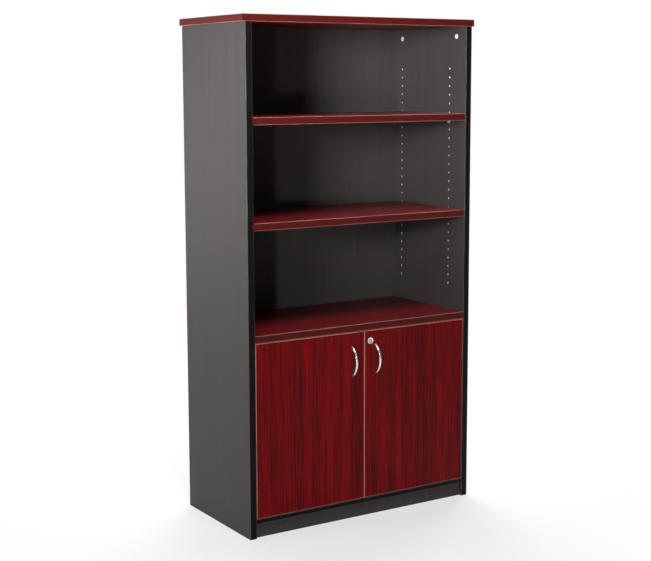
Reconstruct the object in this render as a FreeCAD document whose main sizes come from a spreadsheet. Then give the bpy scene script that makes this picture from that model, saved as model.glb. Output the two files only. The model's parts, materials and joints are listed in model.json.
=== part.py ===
import FreeCAD, Part
import math
import os
import re

import Sketcher
from FreeCAD import Placement, Rotation, Vector

# Tall bookcase with two cupboard doors below and open shelves above, in millimetres.
# +Z is up, the doors face -Y, and the origin is the bottom centre of the whole object,
# handles included.  Every size is a cell of the Sizes sheet; every piece reads it there.

SIZES = [
    # carcass
    ("overall_width", 960, "over the top panel"),
    ("overall_depth", 460, "front edges to rear edges, without the handles"),
    ("overall_height", 1780, "floor to top"),
    ("board", 25, "top, sides and shelves"),
    ("thin_board", 16, "doors, base, plinth and back"),
    ("top_overhang", 10, "top panel past each side"),
    ("edging", 2, "thickness of the glued edge band"),
    ("arris", 1.2, "bevel of the edge band"),
    ("back_inset", 4, "back panel in from the rear edges"),
    ("plinth_height", 52, "floor to the underside of the base"),
    ("plinth_setback", 12, "plinth behind the front edges"),
    ("middle_shelf_top", 708, "upper face of the fixed shelf"),
    # loose shelves and their pin holes
    ("shelf_play", 1, "gap beside and behind a loose shelf"),
    ("cupboard_shelf_setback", 40, "inner shelf behind the front edges"),
    ("hole_pitch", 32, "between pin holes"),
    ("hole_radius", 2.5, "pin hole"),
    ("hole_depth", 12, "pin hole"),
    ("hole_front", 96, "front row behind the front edges"),
    ("hole_rear", 45, "rear row in front of the back panel"),
    ("hole_drop", 150, "first hole below the top panel"),
    ("hole_count", 26, "holes in an open row"),
    ("cupboard_hole_drop", 243, "first cupboard hole below the fixed shelf"),
    ("cupboard_hole_count", 5, "holes in a cupboard row"),
    ("upper_skip_count", 6, "holes passed over above the upper shelf"),
    ("second_skip_count", 17, "holes passed over above the second shelf"),
    ("cupboard_skip_count", 2, "cupboard holes passed over above its shelf"),
    ("bore_flat_count", 6, "flats of small bores, pins and screws"),
    ("fine_flat_count", 12, "flats of wider bores, cups and covers"),
    ("bezel_flat_count", 32, "flats of the bezel of the lock"),
    # shelf supports
    ("support_lift", 4, "pin axis to the shelf it carries"),
    ("support_reach", 11, "ledge out from the side"),
    ("support_width", 18, "ledge along the side"),
    ("support_wall", 2, "ledge and back plate"),
    ("support_boss", 6, "radius of the round foot"),
    ("support_foot", 3, "centre of the foot below the pin"),
    ("support_pin_length", 10, "pin inside its hole"),
    # cam fittings and dowels
    ("cam_radius", 7.5, "cam"),
    ("cam_core", 3, "radius inside the track of the cam"),
    ("cam_below", 4.5, "cam past the axis of its bolt"),
    ("cam_track", 3.7, "half the height of the track"),
    ("cam_setback", 34, "cam centre from the joint"),
    ("cam_front", 57, "front cam behind the front edges"),
    ("cap_radius", 8.5, "cover over a cam"),
    ("cap_height", 1.4, "cover over a cam"),
    ("bolt_shank", 2.8, "radius of a cam bolt"),
    ("bolt_neck", 2, "radius of its neck"),
    ("bolt_head", 3.5, "radius of its head, and length of head and of neck"),
    ("bolt_thread", 11, "length of its thread"),
    ("bolt_channel", 4, "radius of the channel for a cam bolt"),
    ("dowel_radius", 4, "beech dowel"),
    ("dowel_half", 15, "dowel on each side of a joint"),
    ("dowel_offset", 32, "dowel from the cam beside it"),
    ("back_dowel_inset", 400, "back panel's dowels from its ends"),
    ("fit", 0.1, "clearance round fittings in their holes"),
    # doors and handles
    ("door_gap", 2, "round each door"),
    ("meeting_gap", 2, "between the doors"),
    ("handle_reach", 31, "bow out from the door"),
    ("handle_length", 112, "over the ends"),
    ("handle_centres", 96, "between the handle screws"),
    ("handle_width", 10, "across the bow"),
    ("handle_mid", 6, "thickness at the middle of the bow"),
    ("handle_foot", 15, "length of each foot on the door"),
    ("handle_bevel", 1.8, "bevel along the bow"),
    ("handle_inset", 49, "bow from the meeting edge"),
    ("handle_drop", 50, "top of the bow below the top of the door"),
    ("handle_grip", 7, "screw inside the foot"),
    # hinges: sideways from the side's inner face, backwards from the front edges
    ("hinge_inset", 100, "hinge from each end of its door"),
    ("cup_radius", 17.4, "hinge cup"),
    ("cup_edge", 5, "bore of the cup from the edge of the door"),
    ("cup_depth", 12, "bore of the cup"),
    ("cup_wall", 1.2, "wall and flange of the cup"),
    ("cup_floor", 0.8, "floor of the cup"),
    ("cup_rim", 1.8, "flange past the cup"),
    ("ear_radius", 5, "half the width of the flange, and its ends past the screws"),
    ("ear_shift", 9.5, "cup screws from the centre of the cup"),
    ("ear_drop", 22.5, "cup screws above and below the centre"),
    ("pivot_depth", 8.2, "hinge pin behind the front edges"),
    ("hinge_pin", 1.5, "radius of the hinge pin"),
    ("running_fit", 0.05, "clearance round the hinge pin"),
    ("eye_radius", 2.9, "arm round its pin"),
    ("arm_thickness", 2.5, "strip of the arm"),
    ("arm_width", 12, "strip of the arm"),
    ("arm_throw", 13.1, "goose neck beside the pin"),
    ("arm_shoulder", 6.8, "start of the goose neck behind the pin"),
    ("arm_knee", 22.8, "end of the goose neck behind the pin"),
    ("arm_bed", 39.8, "start of the flat tail behind the pin"),
    ("arm_tail", 71.8, "end of the tail behind the pin"),
    ("rail_height", 7.75, "mounting plate under the arm"),
    ("rail_lead", 2, "mounting plate behind the bend and past the tail of the arm"),
    ("plate_front", 53, "plate screws behind the front edges"),
    ("plate_spread", 16, "plate screws above and below the arm"),
    ("plate_thickness", 2.2, "wings of the mounting plate"),
    ("plate_radius", 7, "half the width of the wings, and their ends past the screws"),
    # screws
    ("screw_radius", 2, "shank of the main screws"),
    ("screw_head", 3.8, "radius of their heads"),
    ("screw_crown", 1.8, "height of the heads"),
    ("screw_grip", 11, "wood screw inside its board"),
    ("small_screw", 1.4, "shank of the screws of the door bolt"),
    ("small_head", 2.5, "radius of their heads"),
    ("small_crown", 1.2, "height of their heads"),
    # cylinder lock on the right door
    ("lock_inset", 25, "lock from the meeting edge"),
    ("lock_drop", 37, "lock below the top of the door"),
    ("lock_bezel", 12, "radius of the bezel"),
    ("lock_bezel_height", 2, "bezel in front of the door"),
    ("lock_radius", 9, "threaded barrel"),
    ("lock_length", 22, "barrel behind the front of the door"),
    ("lock_play", 0.3, "cam behind the barrel"),
    ("nut_flats", 24, "lock nut across its flats"),
    ("nut_thickness", 4.5, "lock nut"),
    ("plug_radius", 6, "turning plug"),
    ("plug_proud", 0.4, "plug in front of the bezel"),
    ("key_width", 1.4, "key slot"),
    ("key_height", 8, "key slot"),
    ("key_depth", 10, "key slot"),
    ("tongue_thickness", 2.5, "locking cam"),
    ("tongue_width", 14, "locking cam"),
    ("tongue_reach", 38, "locking cam from the lock's axis"),
    ("tongue_heel", 8, "locking cam past the lock's axis"),
    ("tongue_bend", 16, "crank from the lock's axis"),
    ("tongue_slope", 4, "length of the crank"),
    ("tongue_gap", 0.9, "tip of the locking cam behind the doors"),
    ("tongue_bevel", 3, "corners of the locking cam"),
    # sliding bolt on the left door
    ("slide_inset", 29, "bolt from the meeting edge"),
    ("slide_travel", 12, "bolt up into the fixed shelf"),
    ("slide_plate_width", 22, "bolt's plate"),
    ("slide_plate_length", 52, "bolt's plate"),
    ("slide_plate", 1.5, "thickness of the bolt's plate"),
    ("slide_plate_drop", 2, "plate below the top of the door"),
    ("rod_radius", 3, "bolt"),
    ("rod_height", 6.5, "bolt's axis behind the door"),
    ("rod_drop", 1, "bolt's end below the top of the door"),
    ("rod_length", 62, "bolt"),
    ("loop_wall", 2.4, "loops round the bolt"),
    ("loop_length", 8, "loops round the bolt"),
    ("loop_margin", 2, "loop from the end of its plate"),
    ("knob_radius", 3.5, "bolt's knob"),
    ("knob_length", 9, "bolt's knob"),
    ("knob_drop", 34, "bolt's knob below the top of the door"),
    ("strike_radius", 5, "strike hole in the fixed shelf"),
    ("strike_play", 0.8, "strike hole past the end of the bolt"),
]

ALIASES = {alias for alias, _, _ in SIZES}
doc = FreeCAD.newDocument("Bookcase")
sheet = doc.addObject("Spreadsheet::Sheet", "Sizes")


def fill_sheet():
    """Write each size into the sheet: its meaning in column A, its value in column B."""
    for row, (alias, amount, meaning) in enumerate(SIZES, start=1):
        sheet.set(f"A{row}", meaning)
        sheet.set(f"B{row}", str(amount))
        sheet.setAlias(f"B{row}", alias)
    doc.recompute()


def formula(text):
    """Write the sheet's name before each alias in a formula."""
    return re.sub(r"[a-z]\w*", lambda word: f"Sizes.{word[0]}" if word[0] in ALIASES else word[0], str(text))


def number(text):
    """Return the value of a formula."""
    return float(sheet.evalExpression(formula(text)))


# Places shared by several pieces, as formulas of the sheet's sizes
FRONT = "((handle_reach - overall_depth) / 2)"
REAR = "((handle_reach + overall_depth) / 2)"
SIDE_OUT = "(overall_width / 2 - top_overhang)"
SIDE_IN = "(overall_width / 2 - top_overhang - board)"
INNER_WIDTH = f"(2 * {SIDE_IN})"
TOP_UNDER = "(overall_height - board)"
BASE_TOP = "(plinth_height + thin_board)"
MIDDLE_UNDER = "(middle_shelf_top - board)"
BACK_REAR = "(overall_depth - back_inset)"
INNER_DEPTH = f"({BACK_REAR} - thin_board)"
HOLE_REAR = f"({INNER_DEPTH} - hole_rear)"
FIRST_HOLE = f"({TOP_UNDER} - hole_drop)"
FIRST_CUPBOARD_HOLE = f"({MIDDLE_UNDER} - cupboard_hole_drop)"
DOOR_BOTTOM = f"({BASE_TOP} + door_gap)"
DOOR_TOP = f"({MIDDLE_UNDER} - door_gap)"
DOOR_HEIGHT = f"({DOOR_TOP} - {DOOR_BOTTOM})"
DOOR_WIDTH = f"({SIDE_IN} - door_gap - meeting_gap / 2)"
HINGE_LEVELS = (f"({DOOR_BOTTOM} + hinge_inset)", f"({DOOR_TOP} - hinge_inset)")
HINGE_REACH = "(door_gap + cup_edge + fit + cup_radius)"
HANDLE_CENTRE = f"({DOOR_TOP} - handle_drop - handle_length / 2)"
HANDLE_SIDE = "(meeting_gap / 2 + handle_inset)"
LOCK_SIDE = "(meeting_gap / 2 + lock_inset)"
LOCK_LEVEL = f"({DOOR_TOP} - lock_drop)"
SLIDE_SIDE = "(meeting_gap / 2 + slide_inset)"
DOOR_REAR = f"({FRONT} + thin_board)"
CAM_LINES = ("cam_front", HOLE_REAR)
DOWEL_LINES = ("(cam_front + dowel_offset)", f"({HOLE_REAR} - dowel_offset)")
BACK_DOWELS = (f"({BASE_TOP} + back_dowel_inset)", f"({TOP_UNDER} - back_dowel_inset)")
PLINTH_DOWELS = ("(plinth_height / 2)",)
PLATE_SCREWS = tuple(f"({level} {way} plate_spread)" for level in HINGE_LEVELS for way in "-+")
ARM_SCREW = "(pivot_depth + (arm_bed + arm_tail) / 2 + rail_lead)"
SLIDE_SCREW_SIDE = "(slide_plate_width / 2 - small_head - fit)"
SLIDE_SCREW_DROP = "(slide_plate_length / 2)"


def turned(x_axis, y_axis, z_axis):
    """Return the rotation that lays a piece's own axes along the given directions."""
    return Rotation(Vector(*x_axis), Vector(*y_axis), Vector(*z_axis), "XYZ")


STRAIGHT = Rotation()
HALF_TURN = turned((-1, 0, 0), (0, -1, 0), (0, 0, 1))
QUARTER_LEFT = turned((0, 1, 0), (-1, 0, 0), (0, 0, 1))
QUARTER_RIGHT = turned((0, -1, 0), (1, 0, 0), (0, 0, 1))
ROLLED_OVER = turned((-1, 0, 0), (0, 1, 0), (0, 0, -1))
UPSIDE_DOWN = turned((1, 0, 0), (0, -1, 0), (0, 0, -1))
UPRIGHT = turned((0, 0, 1), (0, 1, 0), (-1, 0, 0))
FACE_FRONT = turned((1, 0, 0), (0, 0, 1), (0, -1, 0))
FACE_REAR = turned((-1, 0, 0), (0, 0, 1), (0, 1, 0))
FACE_REAR_FLIPPED = turned((1, 0, 0), (0, 0, -1), (0, 1, 0))
FACE_LEFT = turned((0, -1, 0), (0, 0, 1), (-1, 0, 0))
FACE_RIGHT = turned((0, 1, 0), (0, 0, 1), (1, 0, 0))
DOOR_LEFT_EDGE = turned((0, 0, 1), (1, 0, 0), (0, 1, 0))
DOOR_RIGHT_EDGE = turned((0, 0, -1), (-1, 0, 0), (0, 1, 0))
DOOR_TOP_EDGE = turned((1, 0, 0), (0, 0, -1), (0, 1, 0))
DOOR_BOTTOM_EDGE = turned((-1, 0, 0), (0, 0, 1), (0, 1, 0))


def place(item, x, y, z, turn=STRAIGHT):
    """Put an object at formulas of the sheet's sizes."""
    item.Placement = Placement(Vector(), turn)
    for axis, text in zip("xyz", (x, y, z)):
        item.setExpression(f"Placement.Base.{axis}", formula(text))
    return item


def new_body(name):
    """Start the body of one piece."""
    body = doc.addObject("PartDesign::Body", name)
    body.Label = name
    return body


def origin_item(body, role):
    """Return a plane or an axis of the body's own origin."""
    return next(item for item in body.Origin.OriginFeatures if item.Role == role)


def new_sketch(body, name, plane="XY_Plane", level="0"):
    """Start a sketch on one of the body's planes, moved along that plane's normal."""
    sketch = body.newObject("Sketcher::SketchObject", f"{body.Name}_{name}")
    sketch.AttachmentSupport = [(origin_item(body, plane), "")]
    sketch.MapMode = "FlatFace"
    sketch.setExpression("AttachmentOffset.Base.z", formula(level))
    return sketch


def dimension(sketch, kind, references, text):
    """Bind a distance or a radius in the sketch to a formula."""
    index = sketch.addConstraint(Sketcher.Constraint(kind, *references, number(text)))
    sketch.setExpression(f"Constraints[{index}]", formula(text))


def pin_point(sketch, geometry, point, u, v):
    """Fix a point of the sketch at two formulas, measured from its origin."""
    for kind, axis, text in (("DistanceX", -2, u), ("DistanceY", -1, v)):
        if text == "0":
            sketch.addConstraint(Sketcher.Constraint("PointOnObject", geometry, point, axis))
        else:
            dimension(sketch, kind, (-1, 1, geometry, point), text)


def spot(u, v):
    """Return the point of a sketch that two formulas give."""
    return Vector(number(u), number(v), 0)


def straight_run(sketch, points, closed):
    """Draw straight lines from point to point, and back to the first if closed."""
    ends = points[1:] + points[:1] if closed else points[1:]
    first = sketch.GeometryCount
    for start, end in zip(points, ends):
        sketch.addGeometry(Part.LineSegment(spot(*start), spot(*end)))
    for index, (u, v) in enumerate(points[:len(ends)]):
        line = first + index
        if index or closed:
            line_before = first + (index - 1) % len(ends)
            sketch.addConstraint(Sketcher.Constraint("Coincident", line_before, 2, line, 1))
        pin_point(sketch, line, 1, u, v)
    if not closed:
        pin_point(sketch, first + len(ends) - 1, 2, *points[-1])


def outline(sketch, points):
    """Draw a closed outline of straight lines."""
    straight_run(sketch, points, closed=True)


def rectangle(sketch, left, low, width, height):
    """Draw a rectangle from its low left corner."""
    right = width if left == "0" else f"({left} + {width})"
    high = height if low == "0" else f"({low} + {height})"
    outline(sketch, [(left, low), (right, low), (right, high), (left, high)])


def circles(sketch, centres, radius):
    """Draw circles of one radius."""
    for u, v in centres:
        index = sketch.addGeometry(Part.Circle(spot(u, v), Vector(0, 0, 1), number(radius)))
        dimension(sketch, "Radius", (index,), radius)
        pin_point(sketch, index, 3, u, v)


def flats(sketch, centres, radius, count="bore_flat_count"):
    """Draw outlines with a few flats, each flat as far from its centre as the radius."""
    for u, v in centres:
        corners = []
        for index in range(round(number(count))):
            turn = f"({index} * 360 deg / {count})"
            corners.append((f"({u} + {radius} / cos(180 deg / {count}) * cos({turn}))",
                            f"({v} + {radius} / cos(180 deg / {count}) * sin({turn}))"))
        outline(sketch, corners)


def wings(sketch, u, reach, half_width):
    """Draw an upright plate with cut corners, its ends past the screws at plus and minus the reach."""
    high = f"({reach} + {half_width})"
    narrow = f"({half_width} / 2)"
    corners = []
    for across, up in ((1, 1), (-1, 1), (-1, -1), (1, -1)):
        wide = (f"({u} + {across} * {half_width})", f"({up} * ({high} - {narrow}))")
        tall = (f"({u} + {across} * {narrow})", f"({up} * {high})")
        corners += [wide, tall] if across == up else [tall, wide]
    outline(sketch, corners)


def bow_arc(sketch, half_chord, rise):
    """Draw an arc from below to above the U axis, rising along it; return its index."""
    radius = f"((({half_chord}) ^ 2 + ({rise}) ^ 2) / (2 * ({rise})))"
    centre = spot(f"({rise}) - {radius}", "0")
    half_angle = math.asin(number(half_chord) / number(radius))
    if number(rise) > number(half_chord):
        half_angle = math.pi - half_angle
    circle = Part.Circle(centre, Vector(0, 0, 1), number(radius))
    index = sketch.addGeometry(Part.ArcOfCircle(circle, -half_angle, half_angle))
    dimension(sketch, "Radius", (index,), radius)
    pin_point(sketch, index, 1, "0", f"-({half_chord})")
    pin_point(sketch, index, 2, "0", half_chord)
    return index


def pad(body, sketch, length, reverse=False):
    """Raise the sketch into a solid."""
    feature = body.newObject("PartDesign::Pad", f"{sketch.Name}_pad")
    feature.Profile = sketch
    feature.Reversed = reverse
    feature.setExpression("Length", formula(length))
    return feature


def cut(body, sketch, depth, reverse=False):
    """Sink the sketch into the solid, against the sketch's normal unless reversed."""
    feature = body.newObject("PartDesign::Pocket", f"{sketch.Name}_cut")
    feature.Profile = sketch
    feature.Reversed = reverse
    feature.setExpression("Length", formula(depth))
    return feature


def bores(body, name, plane, level, centres, radius, depth, reverse=False):
    """Sink round holes of one kind into the body."""
    sketch = new_sketch(body, name, plane, level)
    circles(sketch, centres, radius)
    return cut(body, sketch, depth, reverse)


def small_bores(body, name, plane, level, centres, radius, depth, reverse=False):
    """Sink small holes of one kind, drawn with a few flats because they are many."""
    sketch = new_sketch(body, name, plane, level)
    flats(sketch, centres, radius)
    return cut(body, sketch, depth, reverse)


def fine_bores(body, name, plane, level, centres, radius, depth, reverse=False):
    """Sink wider holes of one kind, drawn with more flats."""
    sketch = new_sketch(body, name, plane, level)
    flats(sketch, centres, radius, "fine_flat_count")
    return cut(body, sketch, depth, reverse)


def hole_row(body, feature, count):
    """Repeat holes downwards at the pitch of the pin holes."""
    pattern = body.newObject("PartDesign::LinearPattern", f"{feature.Name}_row")
    pattern.Originals = [feature]
    pattern.Direction = (origin_item(body, "Z_Axis"), [""])
    pattern.Reversed = True
    pattern.setExpression("Length", formula(f"hole_pitch * ({count} - 1)"))
    pattern.setExpression("Occurrences", formula(count))
    body.Tip = pattern


def bevel_edges(body, size, wanted):
    """Bevel the edges whose middle point and direction pass a test."""
    doc.recompute()
    base = body.Tip
    names = []
    for index, edge in enumerate(base.Shape.Edges, start=1):
        half_way = (edge.FirstParameter + edge.LastParameter) / 2
        if wanted(edge.valueAt(half_way), edge.tangentAt(half_way)):
            names.append(f"Edge{index}")
    feature = body.newObject("PartDesign::Chamfer", f"{body.Name}_bevel")
    feature.Base = (base, names)
    feature.setExpression("Size", formula(size))


def revolved(name, start, steps):
    """Turn a stepped piece about Z: each step up from the start is a length and a radius."""
    body = new_body(name)
    sketch = new_sketch(body, "profile", "XZ_Plane")
    level = start
    points = [("0", level)]
    for length, radius in steps:
        points.append((radius, level))
        level = length if level == "0" else f"({level} + {length})"
        points.append((radius, level))
    points.append(("0", level))
    outline(sketch, points)
    turning = body.newObject("PartDesign::Revolution", f"{name}_turning")
    turning.Profile = sketch
    turning.ReferenceAxis = (sketch, ["V_Axis"])
    turning.Angle = 360
    return body


def stepped(name, start, steps, count="bore_flat_count"):
    """Stack prisms along Z, each inside a circle: each step up from the start is a length and a radius."""
    body = new_body(name)
    level = start
    for index, (length, radius) in enumerate(steps, start=1):
        sketch = new_sketch(body, f"step_{index}", level=level)
        flats(sketch, [("0", "0")], f"({radius} * cos(180 deg / {count}))", count)
        pad(body, sketch, length)
        level = f"({level} + {length})"
    return body


def joined(name, pieces):
    """Group separate pieces into one node."""
    group = doc.addObject("Part::Compound", name)
    group.Label = name
    group.Links = pieces
    return group


def copies(name, master, places):
    """Group separate copies of small pieces: each place is x, y, z and a turn."""
    links = []
    for index, where in enumerate(places, start=1):
        link = doc.addObject("App::Link", f"{name}_{index}")
        link.LinkedObject = master
        link.LinkTransform = False
        links.append(place(link, *where))
    return joined(name, links)


# ---------------------------------------------------------------- carcass


def flat_board(name, width, front, rear, thickness, level):
    """Make a level board, its own Y measured from the front edges of the carcass."""
    body = new_body(name)
    sketch = new_sketch(body, "outline")
    rectangle(sketch, f"(-({width}) / 2)", front, width, f"({rear} - {front})")
    pad(body, sketch, thickness)
    return place(body, "0", FRONT, level)


def edge_band(name, length, width, x, y, z, turn=STRAIGHT):
    """Make a glued edge band along X, its outer face on Y = 0 and its long arrises bevelled."""
    body = new_body(name)
    sketch = new_sketch(body, "profile", "YZ_Plane")
    rectangle(sketch, "0", "0", "edging", width)
    pad(body, sketch, length)
    bevel_edges(body, "arris", lambda middle, heading: abs(middle.y) < 1e-6 and abs(heading.x) > 0.9)
    return place(body, x, y, z, turn)


def end_joints(body, thickness):
    """Bore a fixed board for the cams, bolts and dowels that hold its two ends."""
    middle = f"({thickness} / 2)"
    cams = [(f"({way}1 * ({SIDE_IN} - cam_setback))", line) for way in "-+" for line in CAM_LINES]
    small_bores(body, "cams", "XY_Plane", "0", cams, "(cam_radius + fit)", f"({middle} + cam_below + fit)",
                reverse=True)
    for end, at_left in (("left", True), ("right", False)):
        level = f"(-{SIDE_IN})" if at_left else SIDE_IN
        channels = [(line, middle) for line in CAM_LINES]
        small_bores(body, f"{end}_channels", "YZ_Plane", level, channels, "bolt_channel", "cam_setback",
                    at_left)
        pegs = [(line, middle) for line in DOWEL_LINES]
        small_bores(body, f"{end}_dowels", "YZ_Plane", level, pegs, "(dowel_radius + fit)",
                    "(dowel_half + fit)", at_left)


def make_top():
    """Make the top panel, banded on all four edges, and bore it for the two sides."""
    front_length = "overall_width"
    side_length = "(overall_depth - 2 * edging)"
    body = flat_board("top_panel", "(overall_width - 2 * edging)", "edging", "(overall_depth - edging)",
                      "board", TOP_UNDER)
    middles = [f"({way}1 * ({SIDE_IN} + board / 2))" for way in "-+"]
    small_bores(body, "threads", "XY_Plane", "0", [(x, line) for x in middles for line in CAM_LINES],
                "(bolt_shank + fit)", "(bolt_thread + fit)", reverse=True)
    small_bores(body, "dowels", "XY_Plane", "0", [(x, line) for x in middles for line in DOWEL_LINES],
                "(dowel_radius + fit)", "(dowel_half + fit)", reverse=True)
    half = "(overall_width / 2)"
    bands = [
        edge_band("top_band_front", front_length, "board", f"(-{half})", FRONT, TOP_UNDER),
        edge_band("top_band_rear", front_length, "board", half, REAR, TOP_UNDER, HALF_TURN),
        edge_band("top_band_right", side_length, "board", half, f"({FRONT} + edging)", TOP_UNDER,
                  QUARTER_LEFT),
        edge_band("top_band_left", side_length, "board", f"(-{half})", f"({REAR} - edging)", TOP_UNDER,
                  QUARTER_RIGHT),
    ]
    return [body, joined("top_edging", bands)]


def make_side(hand):
    """Make one side panel: its inner face on X = 0, with every hole that it holds."""
    left = hand == "left"
    outward = "-" if left else "+"
    body = new_body(f"{hand}_side_panel")
    sketch = new_sketch(body, "outline", "YZ_Plane")
    rectangle(sketch, "edging", "0", "(overall_depth - edging)", TOP_UNDER)
    pad(body, sketch, "board", reverse=left)
    inward = not left
    hole_lines = ("hole_front", HOLE_REAR)
    ends = [(line, FIRST_HOLE) for line in hole_lines]
    bores(body, "top_holes", "YZ_Plane", "0", ends, "hole_radius", "hole_depth", inward)
    rows = (("open", f"({FIRST_HOLE} - hole_pitch)", "(hole_count - 1)"),
            ("cupboard", FIRST_CUPBOARD_HOLE, "cupboard_hole_count"))
    for name, level, count in rows:
        pair = [(line, level) for line in hole_lines]
        first = small_bores(body, f"{name}_holes", "YZ_Plane", "0", pair, "hole_radius", "hole_depth", inward)
        hole_row(body, first, count)
    cams = [(line, f"({TOP_UNDER} - cam_setback)") for line in CAM_LINES]
    small_bores(body, "cams", "YZ_Plane", "0", cams, "(cam_radius + fit)", "(board / 2 + cam_below + fit)",
                inward)
    levels = (f"({MIDDLE_UNDER} + board / 2)", "(plinth_height + thin_board / 2)")
    threads = [(line, level) for line in CAM_LINES for level in levels]
    small_bores(body, "threads", "YZ_Plane", "0", threads, "(bolt_shank + fit)", "(bolt_thread + fit)",
                inward)
    pegs = [(line, level) for line in DOWEL_LINES for level in levels]
    pegs += [(f"({BACK_REAR} - thin_board / 2)", level) for level in BACK_DOWELS]
    pegs += [("(plinth_setback + thin_board / 2)", level) for level in PLINTH_DOWELS]
    small_bores(body, "dowels", "YZ_Plane", "0", pegs, "(dowel_radius + fit)", "(dowel_half + fit)", inward)
    pilots = [("plate_front", level) for level in PLATE_SCREWS]
    small_bores(body, "pilots", "YZ_Plane", "0", pilots, "(screw_radius + fit)", "(screw_grip + fit)", inward)
    middle = f"({outward}board / 2)"
    small_bores(body, "channels", "XY_Plane", TOP_UNDER, [(middle, line) for line in CAM_LINES],
                "bolt_channel", "cam_setback")
    small_bores(body, "top_dowels", "XY_Plane", TOP_UNDER, [(middle, line) for line in DOWEL_LINES],
                "(dowel_radius + fit)", "(dowel_half + fit)")
    place(body, f"({outward}{SIDE_IN})", FRONT, "0")
    band_at = f"(-{SIDE_IN})" if left else SIDE_OUT
    band = edge_band(f"{hand}_side_edging", TOP_UNDER, "board", band_at, FRONT, "0", UPRIGHT)
    return [body, band]


def make_back():
    """Make the back panel between the sides, the base and the top, held by dowels."""
    body = new_body("back_panel")
    sketch = new_sketch(body, "outline", "XZ_Plane")
    height = f"({TOP_UNDER} - {BASE_TOP})"
    rectangle(sketch, f"(-{SIDE_IN})", BASE_TOP, INNER_WIDTH, height)
    pad(body, sketch, "thin_board")
    for end, at_left in (("left", True), ("right", False)):
        level = f"(-{SIDE_IN})" if at_left else SIDE_IN
        pegs = [("(-thin_board / 2)", height_at) for height_at in BACK_DOWELS]
        small_bores(body, f"{end}_dowels", "YZ_Plane", level, pegs, "(dowel_radius + fit)",
                    "(dowel_half + fit)", at_left)
    return [place(body, "0", f"({FRONT} + {BACK_REAR})", "0")]


def make_base():
    """Make the cupboard's floor and the plinth that stands under its front."""
    body = flat_board("base_panel", INNER_WIDTH, "edging", BACK_REAR, "thin_board", "plinth_height")
    end_joints(body, "thin_board")
    band = edge_band("base_edging", INNER_WIDTH, "thin_board", f"(-{SIDE_IN})", FRONT, "plinth_height")
    plinth = flat_board("plinth", INNER_WIDTH, "plinth_setback", "(plinth_setback + thin_board)",
                        "plinth_height", "0")
    for end, at_left in (("left", True), ("right", False)):
        level = f"(-{SIDE_IN})" if at_left else SIDE_IN
        pegs = [("(plinth_setback + thin_board / 2)", height_at) for height_at in PLINTH_DOWELS]
        small_bores(plinth, f"{end}_dowels", "YZ_Plane", level, pegs, "(dowel_radius + fit)",
                    "(dowel_half + fit)", at_left)
    return [body, band, plinth]


def make_middle_shelf():
    """Make the fixed shelf over the cupboard, with the strike hole for the left door's bolt."""
    body = flat_board("middle_shelf", INNER_WIDTH, "edging", INNER_DEPTH, "board", MIDDLE_UNDER)
    end_joints(body, "board")
    strike = [(f"(-{SLIDE_SIDE})", "(thin_board + rod_height)")]
    reach = "(slide_travel - rod_drop - door_gap + strike_play)"
    fine_bores(body, "strike", "XY_Plane", "0", strike, "strike_radius", reach, reverse=True)
    band = edge_band("middle_shelf_edging", INNER_WIDTH, "board", f"(-{SIDE_IN})", FRONT, MIDDLE_UNDER)
    return [body, band]


def make_loose_shelf(name, first_hole, holes_above, setback):
    """Make a loose shelf with its front band and its four supports."""
    pin_level = f"({first_hole} - hole_pitch * {holes_above})"
    level = f"({pin_level} + support_lift)"
    width = f"({INNER_WIDTH} - 2 * shelf_play)"
    body = flat_board(name, width, f"({setback} + edging)", f"({INNER_DEPTH} - shelf_play)", "board", level)
    band = edge_band(f"{name}_edging", width, "board", f"(shelf_play - {SIDE_IN})",
                     f"({FRONT} + {setback})", level)
    places = [(f"({way}{SIDE_IN})", f"({FRONT} + {line})", pin_level, turn)
              for way, turn in (("-", STRAIGHT), ("+", HALF_TURN)) for line in ("hole_front", HOLE_REAR)]
    return [body, band, copies(f"{name}_supports", shelf_support, places)]


def make_shelf_support():
    """Make a moulded shelf support: pin to -X, ledge to +X, a round foot below the pin."""
    body = new_body("shelf_support")
    half = "(support_width / 2)"
    ledge = new_sketch(body, "ledge", "YZ_Plane")
    rectangle(ledge, f"(-{half})", "(support_lift - support_wall)", "support_width", "support_wall")
    pad(body, ledge, "support_reach")
    plate = new_sketch(body, "plate", "YZ_Plane")
    top = "(support_lift - support_wall)"
    outline(plate, [(f"(-{half})", top), ("(-support_boss)", "(-support_foot)"),
                    ("support_boss", "(-support_foot)"), (half, top)])
    pad(body, plate, "support_wall")
    foot = new_sketch(body, "foot", "YZ_Plane")
    flats(foot, [("0", "(-support_foot)")], "(support_boss * cos(180 deg / bore_flat_count))")
    pad(body, foot, "(support_reach / 2)")
    pin = new_sketch(body, "pin", "YZ_Plane")
    flats(pin, [("0", "0")], "((hole_radius - fit) * cos(180 deg / bore_flat_count))")
    pad(body, pin, "support_pin_length", reverse=True)
    return body


# ---------------------------------------------------------------- joints of the carcass


def make_cam(name, thickness):
    """Make a cam whose open end lies on Z = 0, with the track round its core for a bolt."""
    axis = f"({thickness} / 2)"
    floor = "(cam_below - cam_track)"
    body = stepped(name, f"(-{axis} - cam_below)", [
        (floor, "cam_radius"), ("(2 * cam_track)", "cam_core"), (f"({axis} - cam_track)", "cam_radius")])
    return body


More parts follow.
